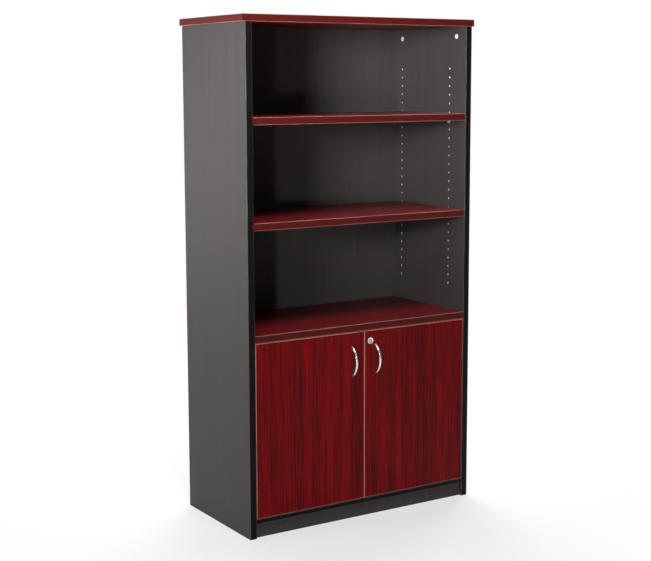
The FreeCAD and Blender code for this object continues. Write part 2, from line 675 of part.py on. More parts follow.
def make_joinery():
    """Make the cams, their covers and bolts, and the dowels that hold the boards together."""
    board_cam = make_cam("board_cam", "board")
    thin_cam = make_cam("thin_cam", "thin_board")
    cap = stepped("cam_cap", "0", [("cap_height", "cap_radius")], "fine_flat_count")
    tip = "(cam_setback - cam_core - fit)"
    bolt = stepped("cam_bolt", "(-bolt_thread)", [
        (f"(bolt_thread + {tip} - 2 * bolt_head)", "bolt_shank"), ("bolt_head", "bolt_neck"),
        ("bolt_head", "bolt_head")])
    peg = stepped("dowel", "(-dowel_half)", [("(2 * dowel_half)", "dowel_radius")])
    walls = (("-", FACE_RIGHT), ("+", FACE_LEFT))
    lines = [f"({FRONT} + {line})" for line in CAM_LINES]
    peg_lines = [f"({FRONT} + {line})" for line in DOWEL_LINES]
    inner = f"({SIDE_IN} - cam_setback)"
    middle = f"({SIDE_IN} + board / 2)"
    side_cams = [(f"({way}{SIDE_IN})", y, f"({TOP_UNDER} - cam_setback)", turn)
                 for way, turn in walls for y in lines]
    shelf_cams = [(f"({way}{inner})", y, MIDDLE_UNDER, UPSIDE_DOWN) for way in "-+" for y in lines]
    base_cams = [(f"({way}{inner})", y, "plinth_height", UPSIDE_DOWN) for way in "-+" for y in lines]
    bolts = [(f"({way}{middle})", y, TOP_UNDER, UPSIDE_DOWN) for way in "-+" for y in lines]
    pegs = [(f"({way}{middle})", y, TOP_UNDER, UPSIDE_DOWN) for way in "-+" for y in peg_lines]
    for level in (f"({MIDDLE_UNDER} + board / 2)", "(plinth_height + thin_board / 2)"):
        bolts += [(f"({way}{SIDE_IN})", y, level, turn) for way, turn in walls for y in lines]
        pegs += [(f"({way}{SIDE_IN})", y, level, turn) for way, turn in walls for y in peg_lines]
    back_line = f"({FRONT} + {BACK_REAR} - thin_board / 2)"
    plinth_line = f"({FRONT} + plinth_setback + thin_board / 2)"
    for line, levels in ((back_line, BACK_DOWELS), (plinth_line, PLINTH_DOWELS)):
        pegs += [(f"({way}{SIDE_IN})", line, level, turn) for way, turn in walls for level in levels]
    return [
        copies("cam_fittings", board_cam, side_cams + shelf_cams),
        copies("base_cam_fittings", thin_cam, base_cams),
        copies("cam_covers", cap, side_cams + shelf_cams),
        copies("cam_bolts", bolt, bolts),
        copies("wood_dowels", peg, pegs),
    ]


# ---------------------------------------------------------------- doors


def make_door(hand):
    """Make one door: X from its left edge, Y from its front face, Z from its lower edge."""
    left = hand == "left"
    body = new_body(f"{hand}_door_panel")
    sketch = new_sketch(body, "outline", "XZ_Plane")
    width = f"({DOOR_WIDTH} - 2 * edging)"
    height = f"({DOOR_HEIGHT} - 2 * edging)"
    rectangle(sketch, "edging", "edging", width, height)
    pad(body, sketch, "thin_board", reverse=True)

    def across(from_hinge):
        return from_hinge if left else f"({DOOR_WIDTH} - {from_hinge})"

    cup = "(cup_edge + fit + cup_radius)"
    levels = ("hinge_inset", f"({DOOR_HEIGHT} - hinge_inset)")
    rear = "(-thin_board)"
    fine_bores(body, "cups", "XZ_Plane", rear, [(across(cup), level) for level in levels],
               "(cup_radius + fit)", "cup_depth", reverse=True)
    ears = [(across(f"({cup} + ear_shift)"), f"({level} {way} ear_drop)") for level in levels for way in "-+"]
    small_bores(body, "ear_pilots", "XZ_Plane", rear, ears, "(screw_radius + fit)", "(screw_grip + fit)",
                reverse=True)
    handle = across(f"({DOOR_WIDTH} - handle_inset)")
    handle_level = f"({DOOR_HEIGHT} - handle_drop - handle_length / 2)"
    screws = [(handle, f"({handle_level} {way} handle_centres / 2)") for way in "-+"]
    small_bores(body, "handle_holes", "XZ_Plane", rear, screws, "(screw_radius + fit)", "thin_board",
                reverse=True)
    if left:
        pilot_level = f"({DOOR_HEIGHT} - slide_plate_drop - {SLIDE_SCREW_DROP})"
        pilots = [(f"({DOOR_WIDTH} - slide_inset {way} {SLIDE_SCREW_SIDE})", pilot_level) for way in "-+"]
        small_bores(body, "slide_pilots", "XZ_Plane", rear, pilots, "(small_screw + fit)",
                    "(screw_grip + fit)", reverse=True)
    else:
        hole = [("lock_inset", f"({DOOR_HEIGHT} - lock_drop)")]
        fine_bores(body, "lock_hole", "XZ_Plane", rear, hole, "(lock_radius + fit)", "thin_board",
                   reverse=True)
    door_x = f"(door_gap - {SIDE_IN})" if left else "(meeting_gap / 2)"
    place(body, door_x, FRONT, DOOR_BOTTOM)
    far_x = f"({door_x} + {DOOR_WIDTH})"
    bands = [
        edge_band(f"{hand}_door_band_left", DOOR_HEIGHT, "thin_board", door_x, FRONT, DOOR_BOTTOM,
                  DOOR_LEFT_EDGE),
        edge_band(f"{hand}_door_band_right", DOOR_HEIGHT, "thin_board", far_x, FRONT, DOOR_TOP,
                  DOOR_RIGHT_EDGE),
        edge_band(f"{hand}_door_band_top", width, "thin_board", f"({door_x} + edging)", FRONT, DOOR_TOP,
                  DOOR_TOP_EDGE),
        edge_band(f"{hand}_door_band_bottom", width, "thin_board", f"({far_x} - edging)", FRONT,
                  DOOR_BOTTOM, DOOR_BOTTOM_EDGE),
    ]
    return [body, joined(f"{hand}_door_edging", bands)]


def make_screw(name, grip, radius, head, crown):
    """Make a screw: its head above Z = 0, its shank below."""
    return stepped(name, f"(-{grip})", [(grip, radius), (crown, head)])


def make_handle(hand):
    """Make one bow handle: feet on Y = 0, the bow towards +Y, upright, then turned to the front."""
    body = new_body(f"{hand}_handle")
    half = "(handle_width / 2)"
    sketch = new_sketch(body, "bow", "YZ_Plane", f"(-{half})")
    outer = bow_arc(sketch, "(handle_length / 2)", "handle_reach")
    inner = bow_arc(sketch, "(handle_length / 2 - handle_foot)", "(handle_reach - handle_mid)")
    for end, way in ((1, "-"), (2, "")):
        foot = sketch.addGeometry(Part.LineSegment(
            spot("0", f"{way}(handle_length / 2)"), spot("0", f"{way}(handle_length / 2 - handle_foot)")))
        sketch.addConstraint(Sketcher.Constraint("Coincident", foot, 1, outer, end))
        sketch.addConstraint(Sketcher.Constraint("Coincident", foot, 2, inner, end))
    pad(body, sketch, "handle_width")
    inner_top = number("handle_reach - handle_mid / 2")
    bevel_edges(body, "handle_bevel", lambda middle, heading: middle.y > inner_top and abs(heading.x) < 0.1)
    places = [("0", f"({way}handle_centres / 2)") for way in "-+"]
    small_bores(body, "threads", "XZ_Plane", "0", places, "(screw_radius + fit)", "(handle_grip + fit)")
    way = "-" if hand == "left" else "+"
    side = f"({way}{HANDLE_SIDE})"
    place(body, side, FRONT, HANDLE_CENTRE, HALF_TURN)
    screws = [(side, DOOR_REAR, f"({HANDLE_CENTRE} {step} handle_centres / 2)", FACE_REAR) for step in "-+"]
    return [body, copies(f"{hand}_handle_screws", handle_screw, screws)]


# ---------------------------------------------------------------- hinges


def make_hinge_cup():
    """Make a pressed hinge cup: sunk below Z = 0, its flange above, its two ears towards -X."""
    body = new_body("hinge_cup")
    sunk = "(cup_depth - fit)"
    centre = [("0", "0")]
    cup = new_sketch(body, "cup", level=f"(-{sunk})")
    flats(cup, centre, "cup_radius", "fine_flat_count")
    pad(body, cup, sunk)
    flange = new_sketch(body, "flange")
    flats(flange, centre, "(cup_radius + cup_rim)", "fine_flat_count")
    pad(body, flange, "cup_wall")
    ears = new_sketch(body, "ears")
    wings(ears, "(-ear_shift)", "ear_drop", "ear_radius")
    pad(body, ears, "cup_wall")
    fine_bores(body, "hollow", "XY_Plane", "cup_wall", centre, "(cup_radius - cup_wall)",
               f"(cup_wall + {sunk} - cup_floor)")
    holes = [("(-ear_shift)", f"({way}ear_drop)") for way in "-+"]
    small_bores(body, "ear_holes", "XY_Plane", "cup_wall", holes, "(screw_radius + fit)", "cup_wall")
    return body


def make_hinge_arm():
    """Make the goose-neck arm: a bent strip from its bed on the side to the eye round the pin."""
    body = new_body("hinge_arm")
    tail_end = "(pivot_depth + arm_tail)"
    bed = "(rail_height + arm_thickness / 2)"
    neck = f"({HINGE_REACH} + arm_throw)"
    path = new_sketch(body, "path")
    straight_run(path, [
        (bed, tail_end), (bed, "(pivot_depth + arm_bed)"), (neck, "(pivot_depth + arm_knee)"),
        (neck, "(pivot_depth + arm_shoulder)"), (HINGE_REACH, "pivot_depth")], closed=False)
    strip = new_sketch(body, "strip", "XZ_Plane", f"(-{tail_end})")
    rectangle(strip, "rail_height", "(-arm_width / 2)", "arm_thickness", "arm_width")
    sweep = body.newObject("PartDesign::AdditivePipe", "hinge_arm_sweep")
    sweep.Profile = strip
    sweep.Spine = (path, [f"Edge{index}" for index in range(1, 5)])
    sweep.Transition = "Right corner"
    pivot = [(HINGE_REACH, "pivot_depth")]
    eye = new_sketch(body, "eye", level="(-arm_width / 2)")
    flats(eye, pivot, "eye_radius", "fine_flat_count")
    pad(body, eye, "arm_width")
    fine_bores(body, "pin_hole", "XY_Plane", "(arm_width / 2)", pivot, "(hinge_pin + running_fit)",
               "arm_width")
    small_bores(body, "screw_hole", "YZ_Plane", "(rail_height + arm_thickness)", [(ARM_SCREW, "0")],
                "(screw_radius + fit)", "arm_thickness")
    return body


def make_hinge_plate():
    """Make the mounting plate: two wings on the side panel and a rail that carries the arm."""
    body = new_body("hinge_plate")
    plate = new_sketch(body, "plate", "YZ_Plane")
    wings(plate, "plate_front", "plate_spread", "plate_radius")
    pad(body, plate, "plate_thickness")
    rail = new_sketch(body, "rail", "YZ_Plane")
    rectangle(rail, "(pivot_depth + arm_bed + rail_lead)", "(-arm_width / 2)", "(arm_tail - arm_bed)",
              "arm_width")
    pad(body, rail, "rail_height")
    holes = [("plate_front", f"({way}plate_spread)") for way in "-+"]
    small_bores(body, "wing_holes", "YZ_Plane", "plate_thickness", holes, "(screw_radius + fit)",
                "plate_thickness")
    small_bores(body, "rail_hole", "YZ_Plane", "rail_height", [(ARM_SCREW, "0")], "(screw_radius + fit)",
                "(rail_height - fit)")
    return body


def make_hinges():
    """Make two concealed hinges for each door: cup and pin on the door, arm and plate on the side."""
    cup = make_hinge_cup()
    arm = make_hinge_arm()
    plate = make_hinge_plate()
    half = "(cup_radius - cup_wall - fit)"
    pin = stepped("hinge_pin_master", f"(-{half})", [(f"(2 * {half})", "hinge_pin")], "fine_flat_count")
    plate_screw = make_screw("plate_screw", "(plate_thickness + screw_grip)", "screw_radius", "screw_head",
                             "screw_crown")
    cup_screw = make_screw("cup_screw", "(cup_wall + screw_grip - fit)", "screw_radius", "screw_head",
                           "screw_crown")
    arm_screw = make_screw("arm_screw", "(arm_thickness + rail_height - 2 * fit)", "screw_radius",
                           "screw_head", "screw_crown")
    walls = (("-", STRAIGHT, FACE_RIGHT), ("+", ROLLED_OVER, FACE_LEFT))
    mounts = [(f"({way}{SIDE_IN})", FRONT, level, turn) for way, turn, _ in walls for level in HINGE_LEVELS]
    wing_places = []
    arm_screw_places = []
    for way, _, facing in walls:
        wing_x = f"({way}({SIDE_IN} - plate_thickness))"
        wing_places += [(wing_x, f"({FRONT} + plate_front)", level, facing) for level in PLATE_SCREWS]
        arm_x = f"({way}({SIDE_IN} - rail_height - arm_thickness))"
        arm_screw_places += [(arm_x, f"({FRONT} + {ARM_SCREW})", level, facing) for level in HINGE_LEVELS]
    nodes = [
        copies("hinge_arms", arm, mounts),
        copies("hinge_plates", plate, mounts),
        copies("hinge_plate_screws", plate_screw, wing_places),
        copies("hinge_arm_screws", arm_screw, arm_screw_places),
    ]
    for hand, way, facing in (("left", "-", FACE_REAR), ("right", "+", FACE_REAR_FLIPPED)):
        cup_x = f"({way}({SIDE_IN} - {HINGE_REACH}))"
        ear_x = f"({way}({SIDE_IN} - {HINGE_REACH} - ear_shift))"
        ears = [f"({level} {step} ear_drop)" for level in HINGE_LEVELS for step in "-+"]
        nodes += [
            copies(f"{hand}_hinge_cups", cup, [(cup_x, DOOR_REAR, level, facing) for level in HINGE_LEVELS]),
            copies(f"{hand}_hinge_pins", pin,
                   [(cup_x, f"({FRONT} + pivot_depth)", level, STRAIGHT) for level in HINGE_LEVELS]),
            copies(f"{hand}_cup_screws", cup_screw,
                   [(ear_x, f"({DOOR_REAR} + cup_wall)", level, FACE_REAR) for level in ears]),
        ]
    return nodes


# ---------------------------------------------------------------- lock and bolt


def make_lock():
    """Make the cylinder lock of the right door: barrel, nut, turning plug and cranked cam."""
    barrel = stepped("lock_barrel", "0", [("lock_length", "lock_radius")], "fine_flat_count")
    bezel = new_sketch(barrel, "bezel", level="lock_length")
    flats(bezel, [("0", "0")], "(lock_bezel * cos(180 deg / bezel_flat_count))", "bezel_flat_count")
    pad(barrel, bezel, "lock_bezel_height")
    whole = "(lock_length + lock_bezel_height)"
    fine_bores(barrel, "bore", "XY_Plane", whole, [("0", "0")], "(plug_radius + fit)", whole)
    place(barrel, LOCK_SIDE, f"({FRONT} + lock_length)", LOCK_LEVEL, FACE_FRONT)

    nut = new_body("lock_nut")
    hexagon = new_sketch(nut, "hexagon")
    corner = "(nut_flats / sqrt(3))"
    flat = "(nut_flats / 2)"
    outline(hexagon, [(corner, "0"), (f"({corner} / 2)", flat), (f"(-{corner} / 2)", flat),
                      (f"(-{corner})", "0"), (f"(-{corner} / 2)", f"(-{flat})"),
                      (f"({corner} / 2)", f"(-{flat})")])
    pad(nut, hexagon, "nut_thickness")
    fine_bores(nut, "bore", "XY_Plane", "nut_thickness", [("0", "0")], "(lock_radius + fit)",
               "nut_thickness")
    place(nut, LOCK_SIDE, DOOR_REAR, LOCK_LEVEL, FACE_REAR)

    plug_length = f"({whole} + lock_play + plug_proud)"
    plug = revolved("lock_plug", "0", [(plug_length, "plug_radius")])
    key = new_sketch(plug, "key", level=plug_length)
    rectangle(key, "(-key_width / 2)", "(-key_height / 2)", "key_width", "key_height")
    cut(plug, key, "key_depth")
    small_bores(plug, "thread", "XY_Plane", "0", [("0", "0")], "(screw_radius + fit)", "(handle_grip + fit)",
                reverse=True)
    behind = f"({FRONT} + lock_length + lock_play)"
    place(plug, LOCK_SIDE, behind, LOCK_LEVEL, FACE_FRONT)

    tongue = new_body("lock_tongue")
    side = new_sketch(tongue, "side_view", "YZ_Plane", "(-tongue_width / 2)")
    crank = "(lock_length + lock_play - thin_board - tongue_gap)"
    slope_end = "(tongue_bend + tongue_slope)"
    outline(side, [
        ("0", "tongue_heel"), ("0", "(-tongue_bend)"), (f"(-{crank})", f"(-{slope_end})"),
        (f"(-{crank})", "(-tongue_reach)"), (f"(tongue_thickness - {crank})", "(-tongue_reach)"),
        (f"(tongue_thickness - {crank})", f"(-{slope_end})"), ("tongue_thickness", "(-tongue_bend)"),
        ("tongue_thickness", "tongue_heel")])
    pad(tongue, side, "tongue_width")
    ends = (number("tongue_heel"), -number("tongue_reach"))
    bevel_edges(tongue, "tongue_bevel", lambda middle, heading: (
        abs(heading.y) > 0.9 and min(abs(middle.z - end) for end in ends) < 1e-6))
    small_bores(tongue, "screw_hole", "XZ_Plane", "0", [("0", "0")], "(screw_radius + fit)",
                "tongue_thickness")
    place(tongue, LOCK_SIDE, behind, LOCK_LEVEL)
    screw = make_screw("lock_tongue_screw", "(tongue_thickness + handle_grip)", "screw_radius", "screw_head",
                       "screw_crown")
    place(screw, LOCK_SIDE, f"({behind} + tongue_thickness)", LOCK_LEVEL, FACE_REAR)
    return [barrel, nut, plug, tongue, screw]


def make_slide_bolt():
    """Make the sliding bolt of the left door: Y up from the door's top edge, Z out from its rear."""
    housing = new_body("bolt_housing")
    plate = new_sketch(housing, "plate")
    rectangle(plate, "(-slide_plate_width / 2)", "(-slide_plate_drop - slide_plate_length)",
              "slide_plate_width", "slide_plate_length")
    pad(housing, plate, "slide_plate")
    radius = "(rod_radius + loop_wall)"
    upper = "(slide_plate_drop + loop_margin)"
    lower = "(slide_plate_drop + slide_plate_length - loop_margin - loop_length)"
    for name, drop in (("upper", upper), ("lower", lower)):
        arch = new_sketch(housing, f"{name}_arch", "XZ_Plane", drop)
        flats(arch, [("0", "rod_height")], radius, "fine_flat_count")
        pad(housing, arch, "loop_length")
        legs = new_sketch(housing, f"{name}_legs", "XZ_Plane", drop)
        rectangle(legs, f"(-{radius})", "0", f"(2 * {radius})", "rod_height")
        pad(housing, legs, "loop_length")
    fine_bores(housing, "bore", "XZ_Plane", "0", [("0", "rod_height")], "(rod_radius + fit)",
               "(slide_plate_drop + slide_plate_length)", reverse=True)
    holes = [(f"({way}{SLIDE_SCREW_SIDE})", f"(-slide_plate_drop - {SLIDE_SCREW_DROP})") for way in "-+"]
    small_bores(housing, "holes", "XY_Plane", "slide_plate", holes, "(small_screw + fit)", "slide_plate")

    rod = new_body("bolt_rod")
    shaft = new_sketch(rod, "shaft", "XZ_Plane", "rod_drop")
    flats(shaft, [("0", "rod_height")], "rod_radius", "fine_flat_count")
    pad(rod, shaft, "rod_length")
    knob = new_sketch(rod, "knob", level="rod_height")
    flats(knob, [("0", "(-knob_drop)")], "knob_radius")
    pad(rod, knob, "knob_length")
    side = f"(-{SLIDE_SIDE})"
    for piece in (housing, rod):
        place(piece, side, DOOR_REAR, DOOR_TOP, FACE_REAR)
    screw = make_screw("bolt_screw", "(slide_plate + screw_grip)", "small_screw", "small_head", "small_crown")
    places = [(f"({side} {way} {SLIDE_SCREW_SIDE})", f"({DOOR_REAR} + slide_plate)",
               f"({DOOR_TOP} - slide_plate_drop - {SLIDE_SCREW_DROP})", FACE_REAR) for way in "-+"]
    return [housing, rod, copies("bolt_screws", screw, places)]


fill_sheet()
shelf_support = make_shelf_support()
handle_screw = make_screw("handle_screw", "(thin_board + handle_grip)", "screw_radius", "screw_head",
                          "screw_crown")
nodes = make_top() + make_side("left") + make_side("right") + make_back() + make_base()
nodes += make_middle_shelf()
nodes += make_loose_shelf("upper_shelf", FIRST_HOLE, "upper_skip_count", "0")
nodes += make_loose_shelf("second_shelf", FIRST_HOLE, "second_skip_count", "0")
nodes += make_loose_shelf("cupboard_shelf", FIRST_CUPBOARD_HOLE, "cupboard_skip_count",
                          "cupboard_shelf_setback")
nodes += make_joinery()
for side_name in ("left", "right"):
    nodes += make_door(side_name) + make_handle(side_name)
nodes += make_hinges() + make_lock() + make_slide_bolt()
doc.recompute()

for item in doc.Objects:
    if "Invalid" in item.State or "Error" in item.State:
        raise RuntimeError(f"{item.Name} could not be worked out: {item.State}")
for node in nodes:
    if node.Shape.isNull() or not node.Shape.isValid():
        raise RuntimeError(f"{node.Label} has no valid shape")
os.makedirs("parts", exist_ok=True)
for node in nodes:
    node.Shape.exportStep(f"parts/{node.Label}.step")
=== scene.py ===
"""Tall office bookcase with two cupboard doors: its finishes, edge bands, small fittings and a studio."""

from __future__ import annotations

import json
import logging
import math
from collections.abc import Iterable, Sequence
from dataclasses import dataclass
from enum import Enum

import bmesh
import bpy
from mathutils import Matrix, Vector


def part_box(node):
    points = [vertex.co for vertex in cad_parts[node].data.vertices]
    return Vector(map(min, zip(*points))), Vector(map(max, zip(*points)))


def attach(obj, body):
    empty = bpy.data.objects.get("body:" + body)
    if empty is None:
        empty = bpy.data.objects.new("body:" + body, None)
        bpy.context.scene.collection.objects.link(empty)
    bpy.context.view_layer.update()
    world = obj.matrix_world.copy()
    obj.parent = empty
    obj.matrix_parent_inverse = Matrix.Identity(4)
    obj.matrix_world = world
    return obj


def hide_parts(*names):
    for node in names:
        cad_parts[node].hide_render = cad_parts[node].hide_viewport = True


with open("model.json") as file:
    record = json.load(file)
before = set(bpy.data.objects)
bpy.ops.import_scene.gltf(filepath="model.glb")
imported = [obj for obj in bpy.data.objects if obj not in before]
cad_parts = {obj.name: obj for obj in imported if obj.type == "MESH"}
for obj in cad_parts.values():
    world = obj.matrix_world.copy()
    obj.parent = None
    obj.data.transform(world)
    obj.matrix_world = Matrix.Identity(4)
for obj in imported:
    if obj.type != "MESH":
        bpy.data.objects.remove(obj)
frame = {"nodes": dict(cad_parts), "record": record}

LOG = logging.getLogger("bookcase")
MM = 0.001
SAME_PLACE = 0.001 * MM
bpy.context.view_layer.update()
SUPPORTS = ("upper_shelf_supports", "second_shelf_supports", "cupboard_shelf_supports")
SLOTS = {part["node"]: part["material_slot"] for part in frame["record"]["subparts"]}
RIGHT = Vector((1, 0, 0))
REAR = Vector((0, 1, 0))
UP = Vector((0, 0, 1))
SHARP = 40.0  # degrees over which an edge of a fitting is rounded
PROUD = 1.0  # millimetres that a cutter stands over the face that it cuts
Colour = tuple[float, float, float, float]
Corner = tuple[float, float]
Inputs = dict[str | int, object]
Tree = bpy.types.NodeTree
Node = bpy.types.Node
Socket = bpy.types.NodeSocket
Mesh = bpy.types.Mesh
Piece = bpy.types.Object


def linear(code: str) -> Colour:
    """Turn an sRGB colour, six hex digits after a hash, into Blender's linear colour."""
    parts = [int(code[index:index + 2], 16) / 255 for index in (1, 3, 5)]
    return (*(part / 12.92 if part <= 0.04045 else ((part + 0.055) / 1.055) ** 2.4 for part in parts), 1.0)


def add(tree: Tree, kind: str, inputs: Inputs | None = None, **settings: object) -> Node:
    """Add a node to a tree, set its properties and fill its inputs.

    Args:
        tree: The tree of a material, the world or a geometry modifier.
        kind: Blender's name for the type of node.
        inputs: Input names or numbers, each with a constant, a socket to link from or a node whose
            first output is linked.
        settings: Properties of the node itself.

    Returns:
        The new node.
    """
    made = tree.nodes.new(kind)
    for name, setting in settings.items():
        setattr(made, name, setting)
    for key, value in (inputs or {}).items():
        source = value.outputs[0] if isinstance(value, Node) else value
        if isinstance(source, Socket):
            tree.links.new(source, made.inputs[key])
        else:
            made.inputs[key].default_value = source
    return made


def maths(tree: Tree, operation: str, first: object, second: object = 0.0) -> Socket:
    """Add a calculation with one or two values and return its result."""
    return add(tree, "ShaderNodeMath", {0: first, 1: second}, operation=operation).outputs[0]


def cleared(owner: bpy.types.Material | bpy.types.World) -> Tree:
    """Empty a node tree.

    Args:
        owner: A material or a world.

    Returns:
        Its tree.
    """
    owner.use_nodes = True
    owner.node_tree.nodes.clear()
    return owner.node_tree


def tinted(tree: Tree, value: Node, stops: Sequence[tuple[float, str]]) -> Socket:
    """Add a colour ramp.

    Args:
        tree: The material's tree.
        value: What drives the ramp, from 0 to 1.
        stops: Places from 0 to 1, each with its sRGB hex colour.

    Returns:
        The colour.
    """
    ramp = add(tree, "ShaderNodeValToRGB", {"Fac": value})
    elements = ramp.color_ramp.elements
    while len(elements) < len(stops):
        elements.new(1.0)
    for element, (place, code) in zip(elements, stops):
        element.position = place
        element.color = linear(code)
    return ramp.outputs[0]


# ---------------- finishes


class Grain(Enum):
    """The axis that a printed wood grain runs along: 1 there, 0 across it."""

    UPRIGHT = (0, 0, 1)
    LEVEL = (1, 0, 0)


@dataclass(frozen=True)
class Figure:
    """Long grains in a printed pattern, their width and length in millimetres."""

    width: float
    length: float
    detail: float
    shift: float
    roughness: float = 0.6

    def draw(self, tree: Tree, place: Socket, run: Grain) -> Node:
        """Add the noise of the grains.

        Args:
            tree: The material's tree.
            place: Object coordinates, in metres.
            run: The axis that the grains run along.

        Returns:
            The noise, which runs from 0 to 1.
        """
        scale = tuple(1 / ((self.length if along else self.width) * MM) for along in run.value)
        spread = add(tree, "ShaderNodeMapping", {
            "Vector": place, "Location": (self.shift, self.shift, self.shift), "Scale": scale})
        return add(tree, "ShaderNodeTexNoise", {
            "Vector": spread, "Scale": 1.0, "Detail": self.detail, "Roughness": self.roughness})


@dataclass(frozen=True)
class Finish:
    """A finish of one real material; a plain one has a fine, even grit in its gloss and its relief."""

    name: str
    colour: str
    roughness: float = 0.5
    specular: float = 0.5
    metallic: float = 0.0
    grit: float = 0.8
    unevenness: float = 0.15
    relief: float = 0.004

    def make(self) -> bpy.types.Material:
        """Build the material.

        Returns:
            The new material, ready for a material slot.
        """
        material = bpy.data.materials.new(self.name)
        tree = cleared(material)
        shader = add(tree, "ShaderNodeBsdfPrincipled", {
            "Base Color": linear(self.colour), "Roughness": self.roughness,
            "Specular IOR Level": self.specular, "Metallic": self.metallic})
        self.dress(tree, shader, add(tree, "ShaderNodeTexCoord").outputs["Object"])
        add(tree, "ShaderNodeOutputMaterial", {"Surface": shader})
        return material

    def emboss(self, tree: Tree, shader: Node, height: Node) -> None:
        """Raise the surface by a pattern, as deep as the finish's relief in millimetres."""
        bump = add(tree, "ShaderNodeBump", {"Strength": 1.0, "Distance": self.relief * MM, "Height": height})
        tree.links.new(bump.outputs[0], shader.inputs["Normal"])

    def even_grit(self, tree: Tree, place: Socket) -> Node:
        """Add noise as fine as the finish's grit."""
        return add(tree, "ShaderNodeTexNoise", {
            "Vector": place, "Scale": 1 / (self.grit * MM), "Detail": 2.0})

    def dress(self, tree: Tree, shader: Node, place: Socket) -> None:
        """Add the detail of this finish.

        Args:
            tree: The material's tree.
            shader: Its Principled shader.
            place: Object coordinates, in metres.
        """
        noise = self.even_grit(tree, place)
        spread = add(tree, "ShaderNodeMapRange", {
            "Value": noise, "To Min": self.roughness * (1 - self.unevenness),
            "To Max": self.roughness * (1 + self.unevenness)})
        tree.links.new(spread.outputs[0], shader.inputs["Roughness"])
        self.emboss(tree, shader, noise)


@dataclass(frozen=True)
class PrintedMelamine(Finish):
    """Melamine-faced board with a printed wood grain: an even satin sheen over bands and streaks."""

    dark: str = "#000000"
    light: str = "#ffffff"
    run: Grain = Grain.UPRIGHT
    bands: Figure = Figure(width=34.0, length=1360.0, detail=1.0, shift=3.0)
    streaks: Figure = Figure(width=5.0, length=1000.0, detail=2.0, shift=11.0)
    pores: Figure = Figure(width=2.2, length=132.0, detail=1.0, shift=23.0)
    streak_share: float = 0.55
    pore_share: float = 0.5
    contrast: float = 0.12

    def dress(self, tree: Tree, shader: Node, place: Socket) -> None:
        """Print the grain on the board.

        Real pores are under 1 mm wide. These are as coarse as they need to be to show.

        Args:
            tree: The material's tree.
            shader: Its Principled shader.
            place: Object coordinates, in metres.
        """
        bands, streaks, pores = (figure.draw(tree, place, self.run)
                                 for figure in (self.bands, self.streaks, self.pores))
        broad = add(tree, "ShaderNodeMix", {"Factor": self.streak_share, 2: bands, 3: streaks})
        fine = add(tree, "ShaderNodeMix", {"Factor": self.pore_share, 2: broad, 3: pores})
        printed = tinted(tree, fine, [
            (0.5 - self.contrast, self.dark), (0.5, self.colour), (0.5 + self.contrast, self.light)])
        tree.links.new(printed, shader.inputs["Base Color"])
        self.emboss(tree, shader, pores)


@dataclass(frozen=True)
class EdgeBand(Finish):
    """Glued ABS edge band: even colour, with a paler arris along each long edge, partly the whitening of the
    scraped ABS and partly a painted highlight.
    """

    # Colour of the arris: scraped whitening together with a painted highlight
    arris: str = "#ffffff"
    polish: float = 0.25

    def dress(self, tree: Tree, shader: Node, place: Socket) -> None:
        """Paint the arris paler, as scraped whitening and as a painted highlight, polish it where the band's
        mesh marks it, and roughen the band finely.

        Args:
            tree: The material's tree.
            shader: Its Principled shader.
            place: Object coordinates, in metres.
        """
        marked = add(tree, "ShaderNodeAttribute", attribute_name="arris").outputs["Fac"]
        # The paler arris colour is partly scraped whitening and partly a painted highlight
        tone = add(tree, "ShaderNodeMix", {
            "Factor": marked, 6: linear(self.colour), 7: linear(self.arris)}, data_type="RGBA")
        tree.links.new(tone.outputs[2], shader.inputs["Base Color"])
        gloss = add(tree, "ShaderNodeMix", {"Factor": marked, 2: self.roughness, 3: self.polish})
        tree.links.new(gloss.outputs[0], shader.inputs["Roughness"])
        self.emboss(tree, shader, self.even_grit(tree, place))


@dataclass(frozen=True)
class Speckled(Finish):
    """Raw chipboard or wood: flakes or fibres of two tones."""

    flake: str = "#000000"
    stretch: tuple[float, float, float] = (1.0, 1.0, 1.0)
    flake_level: float = 0.4
    ground_level: float = 0.6

    def dress(self, tree: Tree, shader: Node, place: Socket) -> None:
        """Scatter the flakes.

        Args:
            tree: The material's tree.
            shader: Its Principled shader.
            place: Object coordinates, in metres.
        """
        scale = tuple(part / (self.grit * MM) for part in self.stretch)
        spread = add(tree, "ShaderNodeMapping", {"Vector": place, "Scale": scale})
        noise = add(tree, "ShaderNodeTexNoise", {"Vector": spread, "Scale": 1.0, "Detail": 3.0})
        flaked = tinted(tree, noise, [
            (self.flake_level, self.flake), (self.ground_level, self.colour)])
        tree.links.new(flaked, shader.inputs["Base Color"])
        self.emboss(tree, shader, noise)


